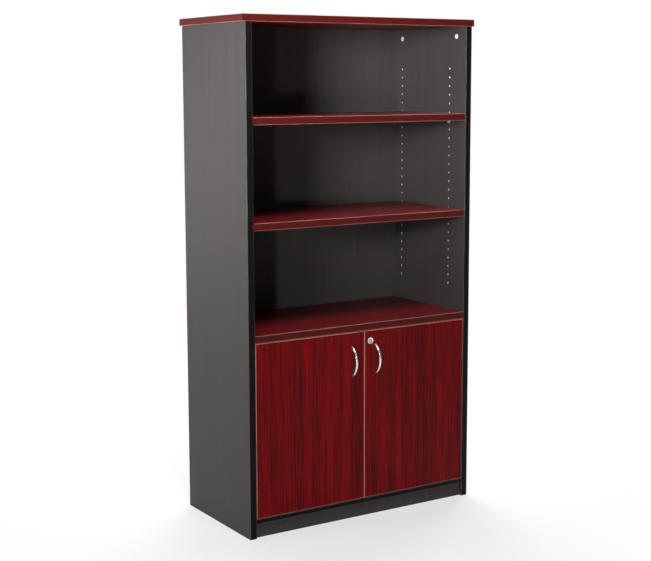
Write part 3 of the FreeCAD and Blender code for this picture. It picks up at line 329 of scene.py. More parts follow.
class Palette:
    """Every finish of the bookcase."""

    def __init__(self) -> None:
        """Build one material for each slot of the record, and one for each finish that it doesn't name."""
        finishes = {
            # Printed redwood melamine: deep red with dark brown streaks, a satin sheen
            "redwood_melamine": PrintedMelamine(
                "printed redwood melamine, upright", "#640a0c", 0.42, 0.06, dark="#3a0c0c", light="#820c10"),
            "redwood_level": PrintedMelamine(
                "printed redwood melamine, level", "#6c1014", 0.36, 0.45, dark="#3c0d0e", light="#8c171f",
                run=Grain.LEVEL),
            # Printed charcoal melamine: nearly even dark grey, faint upright lines, nearly matt
            "charcoal_melamine": PrintedMelamine(
                "printed charcoal melamine", "#3e3b3a", 0.5, 0.1, dark="#3b3837", light="#413e3d"),
            # ABS edge bands: satin; the arris colour is partly whitening where the scraper took the arris and
            # partly a painted highlight
            "redwood_edging": EdgeBand("ABS redwood edge band", "#4a1310", 0.38, 0.08, arris="#b8807a"),
            "charcoal_edging": EdgeBand("ABS charcoal edge band", "#110f0e", 0.4, 0.06, arris="#5c5a57"),
            # Thin melamine back: the same charcoal, painted a shade paler as painted light, where the lamps
            # leave the back darker than the sides
            "charcoal_back_painted_light": PrintedMelamine(
                "printed charcoal melamine, thin back", "#464342", 0.5, 0.1, dark="#43403f", light="#494645"),
            # Moulded polystyrene: bright white, soft gloss
            "white_plastic": Finish("moulded white polystyrene", "#e4e4e0", 0.35),
            # Turned beech: pale tan with short fibres
            "beech": Speckled("turned beech", "#c9a878", 0.6, flake="#a9824f", stretch=(0.2, 1.0, 1.0)),
            # Die-cast zinc: dull blue grey
            "zinc_casting": Finish("die-cast zinc", "#9c9fa2", 0.42, metallic=1.0),
            # Polished chrome: mirror-bright with the softest haze
            "chrome": Finish("polished chrome", "#ece6e4", 0.17, metallic=1.0, relief=0.0005),
            # Bright zinc plating: pale steel with a fine grain
            "zinc_plated_steel": Finish("zinc-plated steel", "#b4b8bc", 0.3, metallic=1.0, relief=0.001),
            # Satin nickel: the plug of the lock, greyer than its bezel
            "satin_nickel": Finish("satin nickel", "#a8a49c", 0.34, metallic=1.0, relief=0.001),
            # Raw chipboard: pale flakes where a drill has cut the board
            "raw_chipboard": Speckled("raw chipboard", "#f0ebe0", 0.8, 0.2, flake="#cfc6b4", relief=0.05),
        }
        self.materials = {slot: finish.make() for slot, finish in finishes.items()}

    def __getitem__(self, slot: str) -> bpy.types.Material:
        """Return the material of a slot."""
        return self.materials[slot]

    def dress(self, piece: Piece, slot: str) -> None:
        """Give a piece the finish of a slot."""
        piece.data.materials.clear()
        piece.data.materials.append(self.materials[slot])

    def dress_nodes(self, variants: dict[str, Iterable[str]]) -> None:
        """Give each carried-over node the finish that its part of the record names.

        Args:
            variants: Variant finishes, each with the nodes that wear it.
        """
        chosen = SLOTS | {node: finish for finish, nodes in variants.items() for node in nodes}
        for name, node in frame["nodes"].items():
            self.dress(node, chosen[name])
            LOG.info("%s is dressed in %s", name, chosen[name])


# ---------------- shapes


@dataclass(frozen=True)
class Solid:
    """The box of one solid of a carried-over node."""

    low: Vector
    high: Vector

    @property
    def centre(self) -> Vector:
        """Return its middle."""
        return (self.low + self.high) / 2

    @property
    def size(self) -> Vector:
        """Return its length along each axis."""
        return self.high - self.low


def solids(name: str) -> list[Solid]:
    """Part a carried-over node into its separate solids.

    Args:
        name: The node.

    Returns:
        The solids, from the lowest to the highest and from left to right.
    """
    work = bmesh.new()
    work.from_mesh(frame["nodes"][name].data)
    bmesh.ops.remove_doubles(work, verts=work.verts, dist=SAME_PLACE)
    found = []
    left = set(work.verts)
    while left:
        island = [left.pop()]
        for vertex in island:
            near = {edge.other_vert(vertex) for edge in vertex.link_edges} & left
            left -= near
            island.extend(near)
        low, high = (Vector([pick(vertex.co[axis] for vertex in island) for axis in range(3)])
                     for pick in (min, max))
        found.append(Solid(low, high))
    work.free()
    return sorted(found, key=lambda solid: (round(solid.centre.z, 4), solid.centre.x, solid.centre.y))


def new_object(name: str, mesh: Mesh) -> Piece:
    """Put a mesh into the scene.

    Args:
        name: Name of the object.
        mesh: Its mesh.

    Returns:
        The object.
    """
    made = bpy.data.objects.new(name, mesh)
    bpy.context.scene.collection.objects.link(made)
    return made


def stand_for(piece: Piece, *nodes: str) -> None:
    """Let a piece replace nodes of one body: it rides there.

    Args:
        piece: The piece.
        nodes: The nodes.
    """
    bodies = frame["record"]["behaviour"]["bodies"]
    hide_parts(*nodes)
    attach(piece, next(body for body, members in bodies.items() if nodes[0] in members))
    LOG.info("%s replaces %s", piece.name, ", ".join(nodes))


def soften(name: str, width: float) -> None:
    """Round the edges of a carried-over node with live modifiers.

    Args:
        name: The node.
        width: Width of the rounding, in millimetres.
    """
    node = frame["nodes"][name]
    node.modifiers.new("merge", "WELD").merge_threshold = SAME_PLACE
    bevel = node.modifiers.new("round", "BEVEL")
    bevel.width = width * MM
    bevel.segments = 2
    bevel.limit_method = "ANGLE"
    bevel.angle_limit = math.radians(SHARP)
    LOG.info("%s has rounded edges", name)


def wall(work: bmesh.types.BMesh, first: Sequence[bmesh.types.BMVert],
         second: Sequence[bmesh.types.BMVert]) -> None:
    """Join two rings of corners by a strip of faces.

    Args:
        work: The mesh under work.
        first: One ring; a ring of one corner is a point.
        second: The other ring.
    """
    steps = max(len(first), len(second))
    for index in range(steps):
        after = (index + 1) % steps
        corners = (first[index % len(first)], first[after % len(first)],
                   second[after % len(second)], second[index % len(second)])
        work.faces.new(dict.fromkeys(corners))


def lathe(name: str, profile: Sequence[Corner], steps: int, sharp: float = 35.0) -> Mesh:
    """Turn a profile about Z into a closed shell.

    Args:
        name: Name of the mesh.
        profile: Radius and height of each corner, in millimetres; it starts and ends on the axis, or is a
            closed ring that never touches it.
        steps: Sides of the turned shape.
        sharp: Angle over which an edge stays sharp, in degrees.

    Returns:
        The mesh.
    """
    work = bmesh.new()
    rings = []
    for radius, level in profile:
        turns = [math.tau * index / steps for index in range(steps if radius else 1)]
        rings.append([work.verts.new((radius * MM * math.cos(turn), radius * MM * math.sin(turn), level * MM))
                      for turn in turns])
    if profile[0][0]:
        rings.append(rings[0])
    for first, second in zip(rings, rings[1:]):
        wall(work, first, second)
    return finished(name, work, sharp)


def finished(name: str, work: bmesh.types.BMesh, sharp: float = 35.0) -> Mesh:
    """Turn the faces outwards, shade them smooth up to an angle and keep the mesh.

    Args:
        name: Name of the mesh.
        work: The mesh under work, which is freed.
        sharp: Angle over which an edge stays sharp, in degrees.

    Returns:
        The mesh.
    """
    bmesh.ops.recalc_face_normals(work, faces=work.faces)
    mesh = bpy.data.meshes.new(name)
    work.to_mesh(mesh)
    work.free()
    mesh.shade_smooth()
    mesh.set_sharp_from_angle(angle=math.radians(sharp))
    return mesh


def rounded(corner: Corner, radius: float, count: int = 4) -> list[Corner]:
    """Work out the quarter round of a profile's upper outer corner.

    Args:
        corner: Radius and height of the corner, in millimetres.
        radius: Radius of the arc, in millimetres.
        count: Its straight steps.

    Returns:
        Points of the arc, from its top outwards and down.
    """
    turns = [math.radians(90 - 90 * index / count) for index in range(count + 1)]
    return [(corner[0] + radius * (math.cos(turn) - 1), corner[1] + radius * (math.sin(turn) - 1))
            for turn in turns]


def plain_mesh(source: Piece) -> Mesh:
    """Return an object's mesh with its modifiers applied."""
    bpy.context.view_layer.update()
    return bpy.data.meshes.new_from_object(source.evaluated_get(bpy.context.evaluated_depsgraph_get()))


def carved(mesh: Mesh, cutters: Sequence[Piece]) -> Mesh:
    """Cut shapes out of a mesh.

    Args:
        mesh: The mesh.
        cutters: The shapes, which are used up.

    Returns:
        A new mesh.
    """
    base = new_object(mesh.name, mesh)
    for cutter in cutters:
        modifier = base.modifiers.new("cut", "BOOLEAN")
        modifier.object = cutter
        modifier.solver = "EXACT"
    cut = plain_mesh(base)
    for used in (base, *cutters):
        bpy.data.objects.remove(used)
    return cut


def block(name: str, low: Sequence[float], high: Sequence[float]) -> Piece:
    """Make a cutting block.

    Args:
        name: Name of the block.
        low: Its lowest corner, in millimetres.
        high: Its highest corner, in millimetres.

    Returns:
        The block.
    """
    work = bmesh.new()
    bmesh.ops.create_cube(work, size=1.0)
    for vertex in work.verts:
        ends = zip(vertex.co, low, high)
        vertex.co = Vector([(first if part < 0 else last) * MM for part, first, last in ends])
    return new_object(name, finished(name, work))


@dataclass(frozen=True)
class Seed:
    """A place for one copy of a shape: its own Z runs along, and its own X points outward."""

    place: Vector
    along: Vector
    outward: Vector
    length: float = 1.0


class Growth:
    """A geometry tree that sets a shape out on seed points, and gives it a material."""

    sizes: tuple[tuple[str, str], ...] = ()

    def __init__(self, name: str) -> None:
        """Build the tree: inputs, the shape, one copy on each seed, real geometry, material.

        Args:
            name: Name of the tree.
        """
        self.tree = bpy.data.node_groups.new(name, "GeometryNodeTree")
        sockets = (("Geometry", "NodeSocketGeometry"), *self.sizes, ("Material", "NodeSocketMaterial"))
        for label, kind in sockets:
            self.tree.interface.new_socket(label, in_out="INPUT", socket_type=kind)
        self.tree.interface.new_socket("Geometry", in_out="OUTPUT", socket_type="NodeSocketGeometry")
        given = add(self.tree, "NodeGroupInput").outputs
        turn = add(self.tree, "FunctionNodeAxesToRotation", {
            "Primary Axis": self.read("along", "FLOAT_VECTOR"),
            "Secondary Axis": self.read("outward", "FLOAT_VECTOR")}, primary_axis="Z", secondary_axis="X")
        length = self.read("length", "FLOAT")
        scale = add(self.tree, "ShaderNodeCombineXYZ", {"X": 1.0, "Y": 1.0, "Z": length})
        copies = add(self.tree, "GeometryNodeInstanceOnPoints", {
            "Points": given["Geometry"], "Instance": self.shape(given), "Rotation": turn,
            "Scale": scale})
        real = add(self.tree, "GeometryNodeRealizeInstances", {"Geometry": copies})
        dressed = add(self.tree, "GeometryNodeSetMaterial", {
            "Geometry": real, "Material": given["Material"]})
        add(self.tree, "NodeGroupOutput", {0: dressed})

    def read(self, name: str, kind: str) -> Socket:
        """Read an attribute of the seed points."""
        return add(self.tree, "GeometryNodeInputNamedAttribute", {"Name": name}, data_type=kind).outputs[0]

    def shape(self, given: bpy.types.bpy_prop_collection) -> Socket:
        """Return the shape that stands on each seed."""
        raise NotImplementedError

    def grow(self, name: str, seeds: Sequence[Seed], inputs: dict[str, object]) -> Piece:
        """Run the tree on seeds and keep the result as a plain mesh.

        Args:
            name: Name of the new piece.
            seeds: Where the copies stand.
            inputs: Values of the tree's inputs, by their names.

        Returns:
            The new piece.
        """
        mesh = bpy.data.meshes.new(name)
        mesh.from_pydata([seed.place for seed in seeds], [], [])
        for key in ("along", "outward"):
            numbers = [part for seed in seeds for part in getattr(seed, key)]
            mesh.attributes.new(key, "FLOAT_VECTOR", "POINT").data.foreach_set("vector", numbers)
        lengths = [seed.length for seed in seeds]
        mesh.attributes.new("length", "FLOAT", "POINT").data.foreach_set("value", lengths)
        source = new_object(f"{name}_seeds", mesh)
        modifier = source.modifiers.new("grow", "NODES")
        modifier.node_group = self.tree
        for item in self.tree.interface.items_tree:
            if item.in_out == "INPUT" and item.name in inputs:
                modifier[item.identifier] = inputs[item.name]
        plain = plain_mesh(source)
        bpy.data.objects.remove(source)
        plain.name = name
        return new_object(name, plain)


class BandGrowth(Growth):
    """Edge bands along straight lines: a flat face with both outer arrises rounded."""

    sizes = (("Board", "NodeSocketFloat"), ("Thickness", "NodeSocketFloat"), ("Arris", "NodeSocketFloat"))
    round_steps = 4
    arris_slants = (0.05, 0.3)

    def shape(self, given: bpy.types.bpy_prop_collection) -> Socket:
        """Make one metre of band up Z, its face on X = 0, and mark its arrises.

        Args:
            given: The tree's inputs.

        Returns:
            A geometry socket.
        """
        tree = self.tree
        sheet = add(tree, "GeometryNodeCurvePrimitiveQuadrilateral", {
            "Width": given["Thickness"], "Height": given["Board"]})
        spot = add(tree, "ShaderNodeSeparateXYZ", {0: add(tree, "GeometryNodeInputPosition")})
        outer = maths(tree, "GREATER_THAN", spot.outputs["X"])
        section = add(tree, "GeometryNodeFilletCurve", {
            "Curve": sheet, "Radius": maths(tree, "MULTIPLY", outer, given["Arris"]),
            "Count": self.round_steps}, mode="POLY")
        filled = add(tree, "GeometryNodeFillCurve", {"Curve": section}, mode="NGONS")
        raised = add(tree, "GeometryNodeExtrudeMesh", {
            "Mesh": filled, "Offset": tuple(UP), "Offset Scale": 1.0, "Individual": False})
        turned = add(tree, "GeometryNodeFlipFaces", {"Mesh": filled})
        both = add(tree, "GeometryNodeJoinGeometry")
        for part in (raised, turned):
            tree.links.new(part.outputs[0], both.inputs[0])
        closed = add(tree, "GeometryNodeMergeByDistance", {"Geometry": both, "Distance": SAME_PLACE})
        shift = add(tree, "ShaderNodeCombineXYZ", {"X": maths(tree, "MULTIPLY", given["Thickness"], -0.5)})
        seated = add(tree, "GeometryNodeTransform", {
            "Geometry": closed, "Translation": shift})
        heading = add(tree, "ShaderNodeSeparateXYZ", {0: add(tree, "GeometryNodeInputNormal")})
        slant = maths(tree, "MINIMUM", heading.outputs["X"], maths(tree, "ABSOLUTE", heading.outputs["Y"]))
        mark = add(tree, "ShaderNodeMapRange", {
            "Value": slant, "From Min": self.arris_slants[0], "From Max": self.arris_slants[1]})
        stored = add(tree, "GeometryNodeStoreNamedAttribute", {
            "Geometry": seated, "Name": "arris", "Value": mark},
            data_type="FLOAT", domain="FACE")
        return stored.outputs[0]


class CopyGrowth(Growth):
    """Copies of a ready-made shape."""

    sizes = (("Master", "NodeSocketObject"),)

    def shape(self, given: bpy.types.bpy_prop_collection) -> Socket:
        """Return the mesh of the master object."""
        return add(self.tree, "GeometryNodeObjectInfo", {"Object": given["Master"]}).outputs["Geometry"]


@dataclass
class Workshop:
    """What every sub-assembly is made with: the finishes and the two geometry trees."""

    palette: Palette
    bands: BandGrowth
    copier: CopyGrowth

    def band(self, node: str, lines: Sequence[Seed], board: float, thickness: float, arris: float) -> None:
        """Replace an edging node by rounded bands.

        Args:
            node: The edging node.
            lines: One seed for each band, at the middle of its outer face.
            board: Thickness of the board behind the band, in metres.
            thickness: Thickness of the band, in metres.
            arris: Radius of its arrises, in metres.
        """
        piece = self.bands.grow(f"{node}_bands", lines, {
            "Board": board, "Thickness": thickness, "Arris": arris, "Material": self.palette[SLOTS[node]]})
        stand_for(piece, node)

    def copies(self, name: str, master: Mesh, seeds: Sequence[Seed], slot: str, node: str = "") -> Piece:
        """Set out copies of one mesh, standing for a carried-over node where one is given.

        Args:
            name: Name of the new piece.
            master: The mesh to copy.
            seeds: Where the copies stand.
            slot: The finish.
            node: The node that the piece replaces.

        Returns:
            The new piece.
        """
        pattern = new_object(f"{name}_master", master)
        piece = self.copier.grow(name, seeds, {"Master": pattern, "Material": self.palette[slot]})
        bpy.data.objects.remove(pattern)
        if node:
            stand_for(piece, node)
        return piece


# ---------------- sub-assemblies, their sizes in millimetres


@dataclass
class EdgedBoards:
    """The glued edge bands of every board."""

    shop: Workshop
    thickness: float = 2.0
    arris: float = 1.4
    door_arris: float = 1.9
    single: tuple[str, ...] = (
        "left_side_edging", "right_side_edging", "base_edging", "middle_shelf_edging", "upper_shelf_edging",
        "second_shelf_edging", "cupboard_shelf_edging")

    def build(self) -> None:
        """Band all boards."""
        for node in self.single:
            self.front_band(node)
        self.frame_bands("top_edging", UP, self.arris)
        for hand in ("left", "right"):
            self.frame_bands(f"{hand}_door_edging", REAR, self.door_arris)

    def front_band(self, node: str) -> None:
        """Band the front edge of one board, along its longer way.

        Args:
            node: The edging node.
        """
        low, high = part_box(node)
        size = high - low
        upright = size.z > size.x
        middle = (low + high) / 2
        start = Vector((middle.x, low.y, low.z)) if upright else Vector((low.x, low.y, middle.z))
        seed = Seed(start, UP if upright else RIGHT, -REAR, size.z if upright else size.x)
        self.shop.band(node, [seed], size.x if upright else size.z, size.y, self.arris * MM)

    def frame_bands(self, node: str, through: Vector, arris: float) -> None:
        """Band all four edges of one board.

        Args:
            node: The edging node.
            through: The way through the board's thickness.
            arris: Radius of the bands' arrises, in millimetres.
        """
        low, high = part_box(node)
        side = REAR if through == UP else UP
        middle = (low + high) / 2
        size = high - low
        board = size.dot(through)
        band = self.thickness * MM
        wide = size.x if through == UP else size.x - 2 * band
        tall = size.dot(side) if through == REAR else size.dot(side) - 2 * band
        lines = []
        for way in (-1, 1):
            across = middle + way * (size.dot(side) / 2) * side
            lines.append(Seed(across - wide / 2 * RIGHT, RIGHT, way * side, wide))
            beside = middle + way * (size.x / 2) * RIGHT
            lines.append(Seed(beside - tall / 2 * side, side, way * RIGHT, tall))
        self.shop.band(node, lines, board, band, arris * MM)


@dataclass
class PinHoles:
    """The drilled rows for shelf supports: each hole shows the raw board inside and a chipped rim."""

    shop: Workshop
    pitch: float = 32.0
    front: float = 96.0
    rear: float = 45.0
    first_drop: float = 150.0
    count: int = 26
    cupboard_drop: float = 243.0
    cupboard_count: int = 5
    radius: float = 2.3
    wall: float = 0.18
    rim: float = 3.0
    rim_height: float = 0.06
    depth: float = 11.8
    sides: int = 12

    def build(self) -> None:
        """Line every hole that holds no shelf support."""
        outer = self.radius + self.wall
        floor = -self.depth
        profile = [(0, floor), (self.radius, floor), (self.radius, self.rim_height),
                   (self.rim, self.rim_height), (self.rim, 0), (outer, 0), (outer, floor - self.wall),
                   (0, floor - self.wall)]
        lining = lathe("pin_hole_lining", profile, steps=self.sides)
        piece = self.shop.copies("pin_hole_linings", lining, self.free_holes(), "raw_chipboard")
        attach(piece, "root")
        LOG.info("%s lines the drilled rows", piece.name)

    def free_holes(self) -> list[Seed]:
        """Work out the places of the open holes.

        Returns:
            One seed for each hole, on the inner face of its side panel.
        """
        taken = [solid for node in SUPPORTS for solid in solids(node)]
        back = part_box("back_panel")[0].y
        seeds = []
        for panel, inward in (("left_side_panel", RIGHT), ("right_side_panel", -RIGHT)):
            low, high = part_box(panel)
            face = high.x if inward.x > 0 else low.x
            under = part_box("middle_shelf")[0].z
            rows = ((high.z - self.first_drop * MM, self.count),
                    (under - self.cupboard_drop * MM, self.cupboard_count))
            lines = (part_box("left_side_edging")[0].y + self.front * MM, back - self.rear * MM)
            levels = [top - index * self.pitch * MM for top, count in rows for index in range(count)]
            for level in levels:
                for line in lines:
                    spot = Vector((face, line, level))
                    if not any(self.holds(solid, spot) for solid in taken):
                        seeds.append(Seed(spot, inward, UP))
        return seeds

    def holds(self, support: Solid, spot: Vector) -> bool:
        """Say whether a shelf support sits in the hole."""
        away = support.centre - spot
        return abs(away.x) < self.pitch * MM and abs(away.y) < MM and support.low.z < spot.z < support.high.z


@dataclass
class CamCovers:
    """White press-in covers over the cams: a low cap with a rounded edge and a dimple in its middle."""

    shop: Workshop
    radius: float = 8.5
    edge: float = 0.6
    dimple: float = 2.6
    dimple_floor: float = 1.56
    dimple_depth: float = 0.5

    def build(self) -> None:
        """Replace the covers by round ones."""
        seeds = []
        covers = solids("cam_covers")
        for cover in covers:
            if cover.size.z < cover.size.x:
                seeds.append(Seed(Vector((cover.centre.x, cover.centre.y, cover.high.z)), -UP, RIGHT))
            else:
                inward = RIGHT if cover.centre.x < 0 else -RIGHT
                foot = cover.low.x if cover.centre.x < 0 else cover.high.x
                seeds.append(Seed(Vector((foot, cover.centre.y, cover.centre.z)), inward, UP))
        height = min(covers[-1].size) / MM
        low = height - self.dimple_depth
        profile = [(0, low), (self.dimple_floor, low), (self.dimple, height),
                   *rounded((self.radius, height), self.edge), (self.radius, 0), (0, 0)]
        self.shop.copies("round_cam_covers", lathe("cam_cover", profile, steps=40, sharp=50), seeds,
                         "white_plastic", "cam_covers")


@dataclass
class Screws:
    """Pan-head screws with a cross recess."""

    shop: Workshop
    crown: float = 1.8
    head: float = 3.8
    shank: float = 1.9
    dome_angle: float = 60.0
    dome_share: float = 0.7
    dome_steps: int = 4
    slot_width: float = 0.9
    slot_depth: float = 1.1
    slot_share: float = 0.55
    point: float = 1.0

    def build(self) -> None:
        """Replace every screw that shows on an open door."""
        for node in ("left_cup_screws", "right_cup_screws", "left_handle_screws", "right_handle_screws",
                     "lock_tongue_screw", "bolt_screws"):
            self.replace(node, REAR)
        for node in ("hinge_plate_screws", "hinge_arm_screws"):
            self.replace(node, RIGHT)

    def replace(self, node: str, axis: Vector) -> None:
        """Replace the screws of one node.

        Args:
            node: The node.
            axis: The way that the heads face; where it is RIGHT, they face the middle of the bookcase.
        """
        seeds = []
        screws = solids(node)
        for screw in screws:
            outward = axis if axis == REAR or screw.centre.x < 0 else -axis
            seeds.append(Seed(screw.centre + outward * screw.size.dot(axis) / 2, outward, UP))
        self.shop.copies(f"{node}_pan_head", self.master(screws[0].size, axis), seeds,
                         "zinc_plated_steel", node)

    def master(self, size: Vector, axis: Vector) -> Mesh:
        """Make one screw, the top of its head on Z = 0.

        Args:
            size: Box of the plain screw, in metres.
            axis: Its own axis.

        Returns:
            The mesh.
        """
        length = size.dot(axis) / MM
        scale = size.z / MM / (2 * self.head)
        head, crown, shank = (part * scale for part in (self.head, self.crown, self.shank))
        full = math.radians(self.dome_angle)
        turns = [full * index / self.dome_steps for index in range(self.dome_steps + 1)]
        sink = crown * self.dome_share / (1 - math.cos(full))
        dome = [(head * math.sin(turn) / math.sin(full), -sink * (1 - math.cos(turn))) for turn in turns]
        shaft = [(head, -crown), (shank, -crown), (shank, self.point - length), (0, -length)]
        arm = head * self.slot_share
        half = self.slot_width * scale / 2
        depth = -self.slot_depth * scale
        return carved(lathe("screw", dome + shaft, steps=24), [
            block("slot", (-arm, -half, depth), (arm, half, PROUD)),
            block("cross_slot", (-half, -arm, depth), (half, arm, PROUD))])


@dataclass
class BowHandle:
    """A polished bow handle: a crescent whose section swells to its flat feet."""

    shop: Workshop
    hand: str
    foot: float = 15.0
    middle: float = 6.0
    stations: int = 56
    sides: int = 24
    squareness: float = 2.0
    foot_squareness: float = 3.0
    waist: float = 0.8

    def build(self) -> None:
        """Replace the handle by a smooth one."""
        node = f"{self.hand}_handle"
        low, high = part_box(node)
        centre = Vector(((low.x + high.x) / 2, high.y, (low.z + high.z) / 2))
        reach = high.y - low.y
        half_length = (high.z - low.z) / 2
        half_width = (high.x - low.x) / 2
        work = bmesh.new()
        rings = []
        for index in range(self.stations + 1):
            share = 2 * index / self.stations - 1
            outer = self.bow_point(share, half_length, reach)
            inner = self.bow_point(share, half_length - self.foot * MM, reach - self.middle * MM)
            spine = (outer + inner) / 2
            swell = (outer - inner) / 2
            power = 2 / (self.squareness + (self.foot_squareness - self.squareness) * share ** 4)
            width = half_width * (self.waist + (1 - self.waist) * share ** 2)
            ring = []
            for step in range(self.sides):
                turn = math.tau * step / self.sides
                out = math.copysign(abs(math.cos(turn)) ** power, math.cos(turn))
                side = math.copysign(abs(math.sin(turn)) ** power, math.sin(turn))
                ring.append(work.verts.new(centre + spine + swell * out + RIGHT * width * side))
            rings.append(ring)
        for first, second in zip(rings, rings[1:]):
            wall(work, first, second)
        work.faces.new(rings[0])
        work.faces.new(rings[-1])
        piece = new_object(f"{node}_bow", finished(node, work, sharp=60))
        self.shop.palette.dress(piece, "chrome")
        stand_for(piece, node)

    def bow_point(self, share: float, half_length: float, reach: float) -> Vector:
        """Return a point of an arc from foot to foot, out towards the front.

        Args:
            share: Place along the arc, from -1 at the low foot to 1 at the high foot.
            half_length: Half the distance between the ends, in metres.
            reach: Height of the arc, in metres.

        Returns:
            The point, from the middle of the handle on the door.
        """
        radius = (half_length ** 2 + reach ** 2) / (2 * reach)
        sweep = math.asin(half_length / radius)
        turn = share * sweep
        return UP * radius * math.sin(turn) - REAR * (radius * math.cos(turn) - radius + reach)


@dataclass
class CupboardLock:
    """The cylinder lock of the right door: a rolled bezel and a turning plug with its key slot."""

    shop: Workshop
    bezel: float = 12.0
    bezel_height: float = 2.0
    roll: float = 1.3
    bore: float = 6.15
    bore_bevel: float = 0.4
    dish: float = 0.7
    dish_floor: float = 7.35
    lip: float = 0.1
    lip_radius: float = 9.4
    barrel: float = 8.9
    plug: float = 5.95
    plug_edge: float = 0.5
    key_width: float = 1.6
    key_height: float = 8.0
    key_depth: float = 6.0

    def build(self) -> None:
        """Replace the barrel and the plug."""
        low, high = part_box("lock_barrel")
        centre = Vector(((low.x + high.x) / 2, low.y, (low.z + high.z) / 2))
        length = (high.y - low.y) / MM
        profile = [(self.bore, -length), (self.bore, -self.dish - self.bore_bevel),
                   (self.dish_floor, -self.dish), (self.lip_radius, -self.lip),
                   *rounded((self.bezel, 0), self.roll), (self.bezel, -self.bezel_height),
                   (self.barrel, -self.bezel_height), (self.barrel, -length)]
        self.shop.copies("lock_bezel", lathe("lock_bezel", profile, steps=48, sharp=40),
                         [Seed(centre, -REAR, UP)], "chrome", "lock_barrel")
        low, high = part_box("lock_plug")
        length = (high.y - low.y) / MM
        profile = [(0, 0), *rounded((self.plug, 0), self.plug_edge), (self.plug, -length), (0, -length)]
        half = Vector((self.key_height, self.key_width, 0)) / 2
        slot = block("key_slot", (-half.x, -half.y, -self.key_depth), (half.x, half.y, PROUD))
        self.shop.copies("lock_cylinder_plug", carved(lathe("plug", profile, steps=40), [slot]),
                         [Seed(Vector((centre.x, low.y, centre.z)), -REAR, UP)], "satin_nickel", "lock_plug")


@dataclass
class DoorHinges:
    """The concealed hinges: pressed cups with an ear for each screw, and pins."""

    shop: Workshop
    cup: float = 17.4
    rim: float = 19.2
    sheet: float = 1.2
    floor: float = 0.8
    ear: float = 5.0
    ear_steps: int = 8
    ear_sink: float = 0.05
    corner: float = 1.5
    lip: float = 0.6
    edge: float = 0.5
    pin_edge: float = 0.3

    def build(self) -> None:
        """Replace the cups and the pins of both doors."""
        for hand in ("left", "right"):
            self.build_cups(hand)
            pins = solids(f"{hand}_hinge_pins")
            half = pins[0].size / 2 / MM
            neck = half.x - self.pin_edge
            shoulder = half.z - self.pin_edge
            profile = [(0, half.z), (neck, half.z), (half.x, shoulder), (half.x, -shoulder),
                       (neck, -half.z), (0, -half.z)]
            seeds = [Seed(pin.centre, UP, RIGHT) for pin in pins]
            self.shop.copies(f"{hand}_turned_pins", lathe("hinge_pin", profile, steps=24), seeds,
                             "zinc_plated_steel", f"{hand}_hinge_pins")

    def build_cups(self, hand: str) -> None:
        """Replace the cups of one door.

        Args:
            hand: left or right.
        """
        cups = solids(f"{hand}_hinge_cups")
        depth = cups[0].size.y / MM
        inner = self.cup - self.sheet
        bottom = self.sheet - depth
        floor = bottom + self.floor
        profile = [(0, floor), (inner - self.corner, floor), (inner, floor + self.corner),
                   (inner, self.sheet - self.lip), (inner + self.lip, self.sheet),
                   *rounded((self.rim, self.sheet), self.edge), (self.rim, 0), (self.cup, 0),
                   (self.cup, bottom + self.corner), (self.cup - self.corner, bottom), (0, bottom)]
        seeds = [Seed(Vector((cup.centre.x, cup.high.y - self.sheet * MM, cup.centre.z)), REAR, UP)
                 for cup in cups]
        shift = (solids(f"{hand}_cup_screws")[0].centre.x - cups[0].centre.x) / MM
        reach = cups[0].size.z / 2 / MM - self.ear
        pressed = self.with_ears(lathe("hinge_cup", profile, steps=48), shift, reach)
        self.shop.copies(f"{hand}_pressed_cups", pressed, seeds, "zinc_plated_steel", f"{hand}_hinge_cups")

    def with_ears(self, cup: Mesh, shift: float, reach: float) -> Mesh:
        """Add the two ears that carry the cup's screws, a hair lower than its rim.

        Args:
            cup: The cup, its rim from Z = 0 upwards.
            shift: Distance of the screws from the cup's centre along Y, in millimetres.
            reach: Distance of each screw from the cup's centre along X, in millimetres.

        Returns:
            The cup with its ears, which start inside the rim.
        """
        work = bmesh.new()
        work.from_mesh(cup)
        root = (self.cup + self.rim) / 2
        for side in (1, -1):
            turns = [math.pi * (index / self.ear_steps - 0.5) for index in range(self.ear_steps + 1)]
            outline = [(side * (reach + self.ear * math.cos(turn)), shift + self.ear * math.sin(turn))
                       for turn in turns]
            outline += [(side * math.sqrt(root ** 2 - level ** 2), level)
                        for level in (shift + self.ear, shift - self.ear)]
            lower, upper = ([work.verts.new((x * MM, y * MM, z * MM)) for x, y in outline]
                            for z in (0, self.sheet - self.ear_sink))
            work.faces.new(lower)
            work.faces.new(upper)
            wall(work, lower, upper)
        return finished("hinge_cup_with_ears", work)


def soften_fittings(width: float = 0.3) -> None:
    """Round the edges of the fittings that keep their own shape, by a width in millimetres."""
    for name in ("hinge_arms", "hinge_plates", "bolt_housing", "lock_tongue", "lock_nut", *SUPPORTS):
        soften(name, width)


# ---------------- studio


@dataclass(frozen=True)
class Lamp:
    """A soft square lamp that aims at a height over the middle; its bearing is from the front by the left."""

    name: str
    bearing: float
    distance: float
    height: float
    power: float
    size: float
    aim: float = 1.0
    spread: float = 180.0


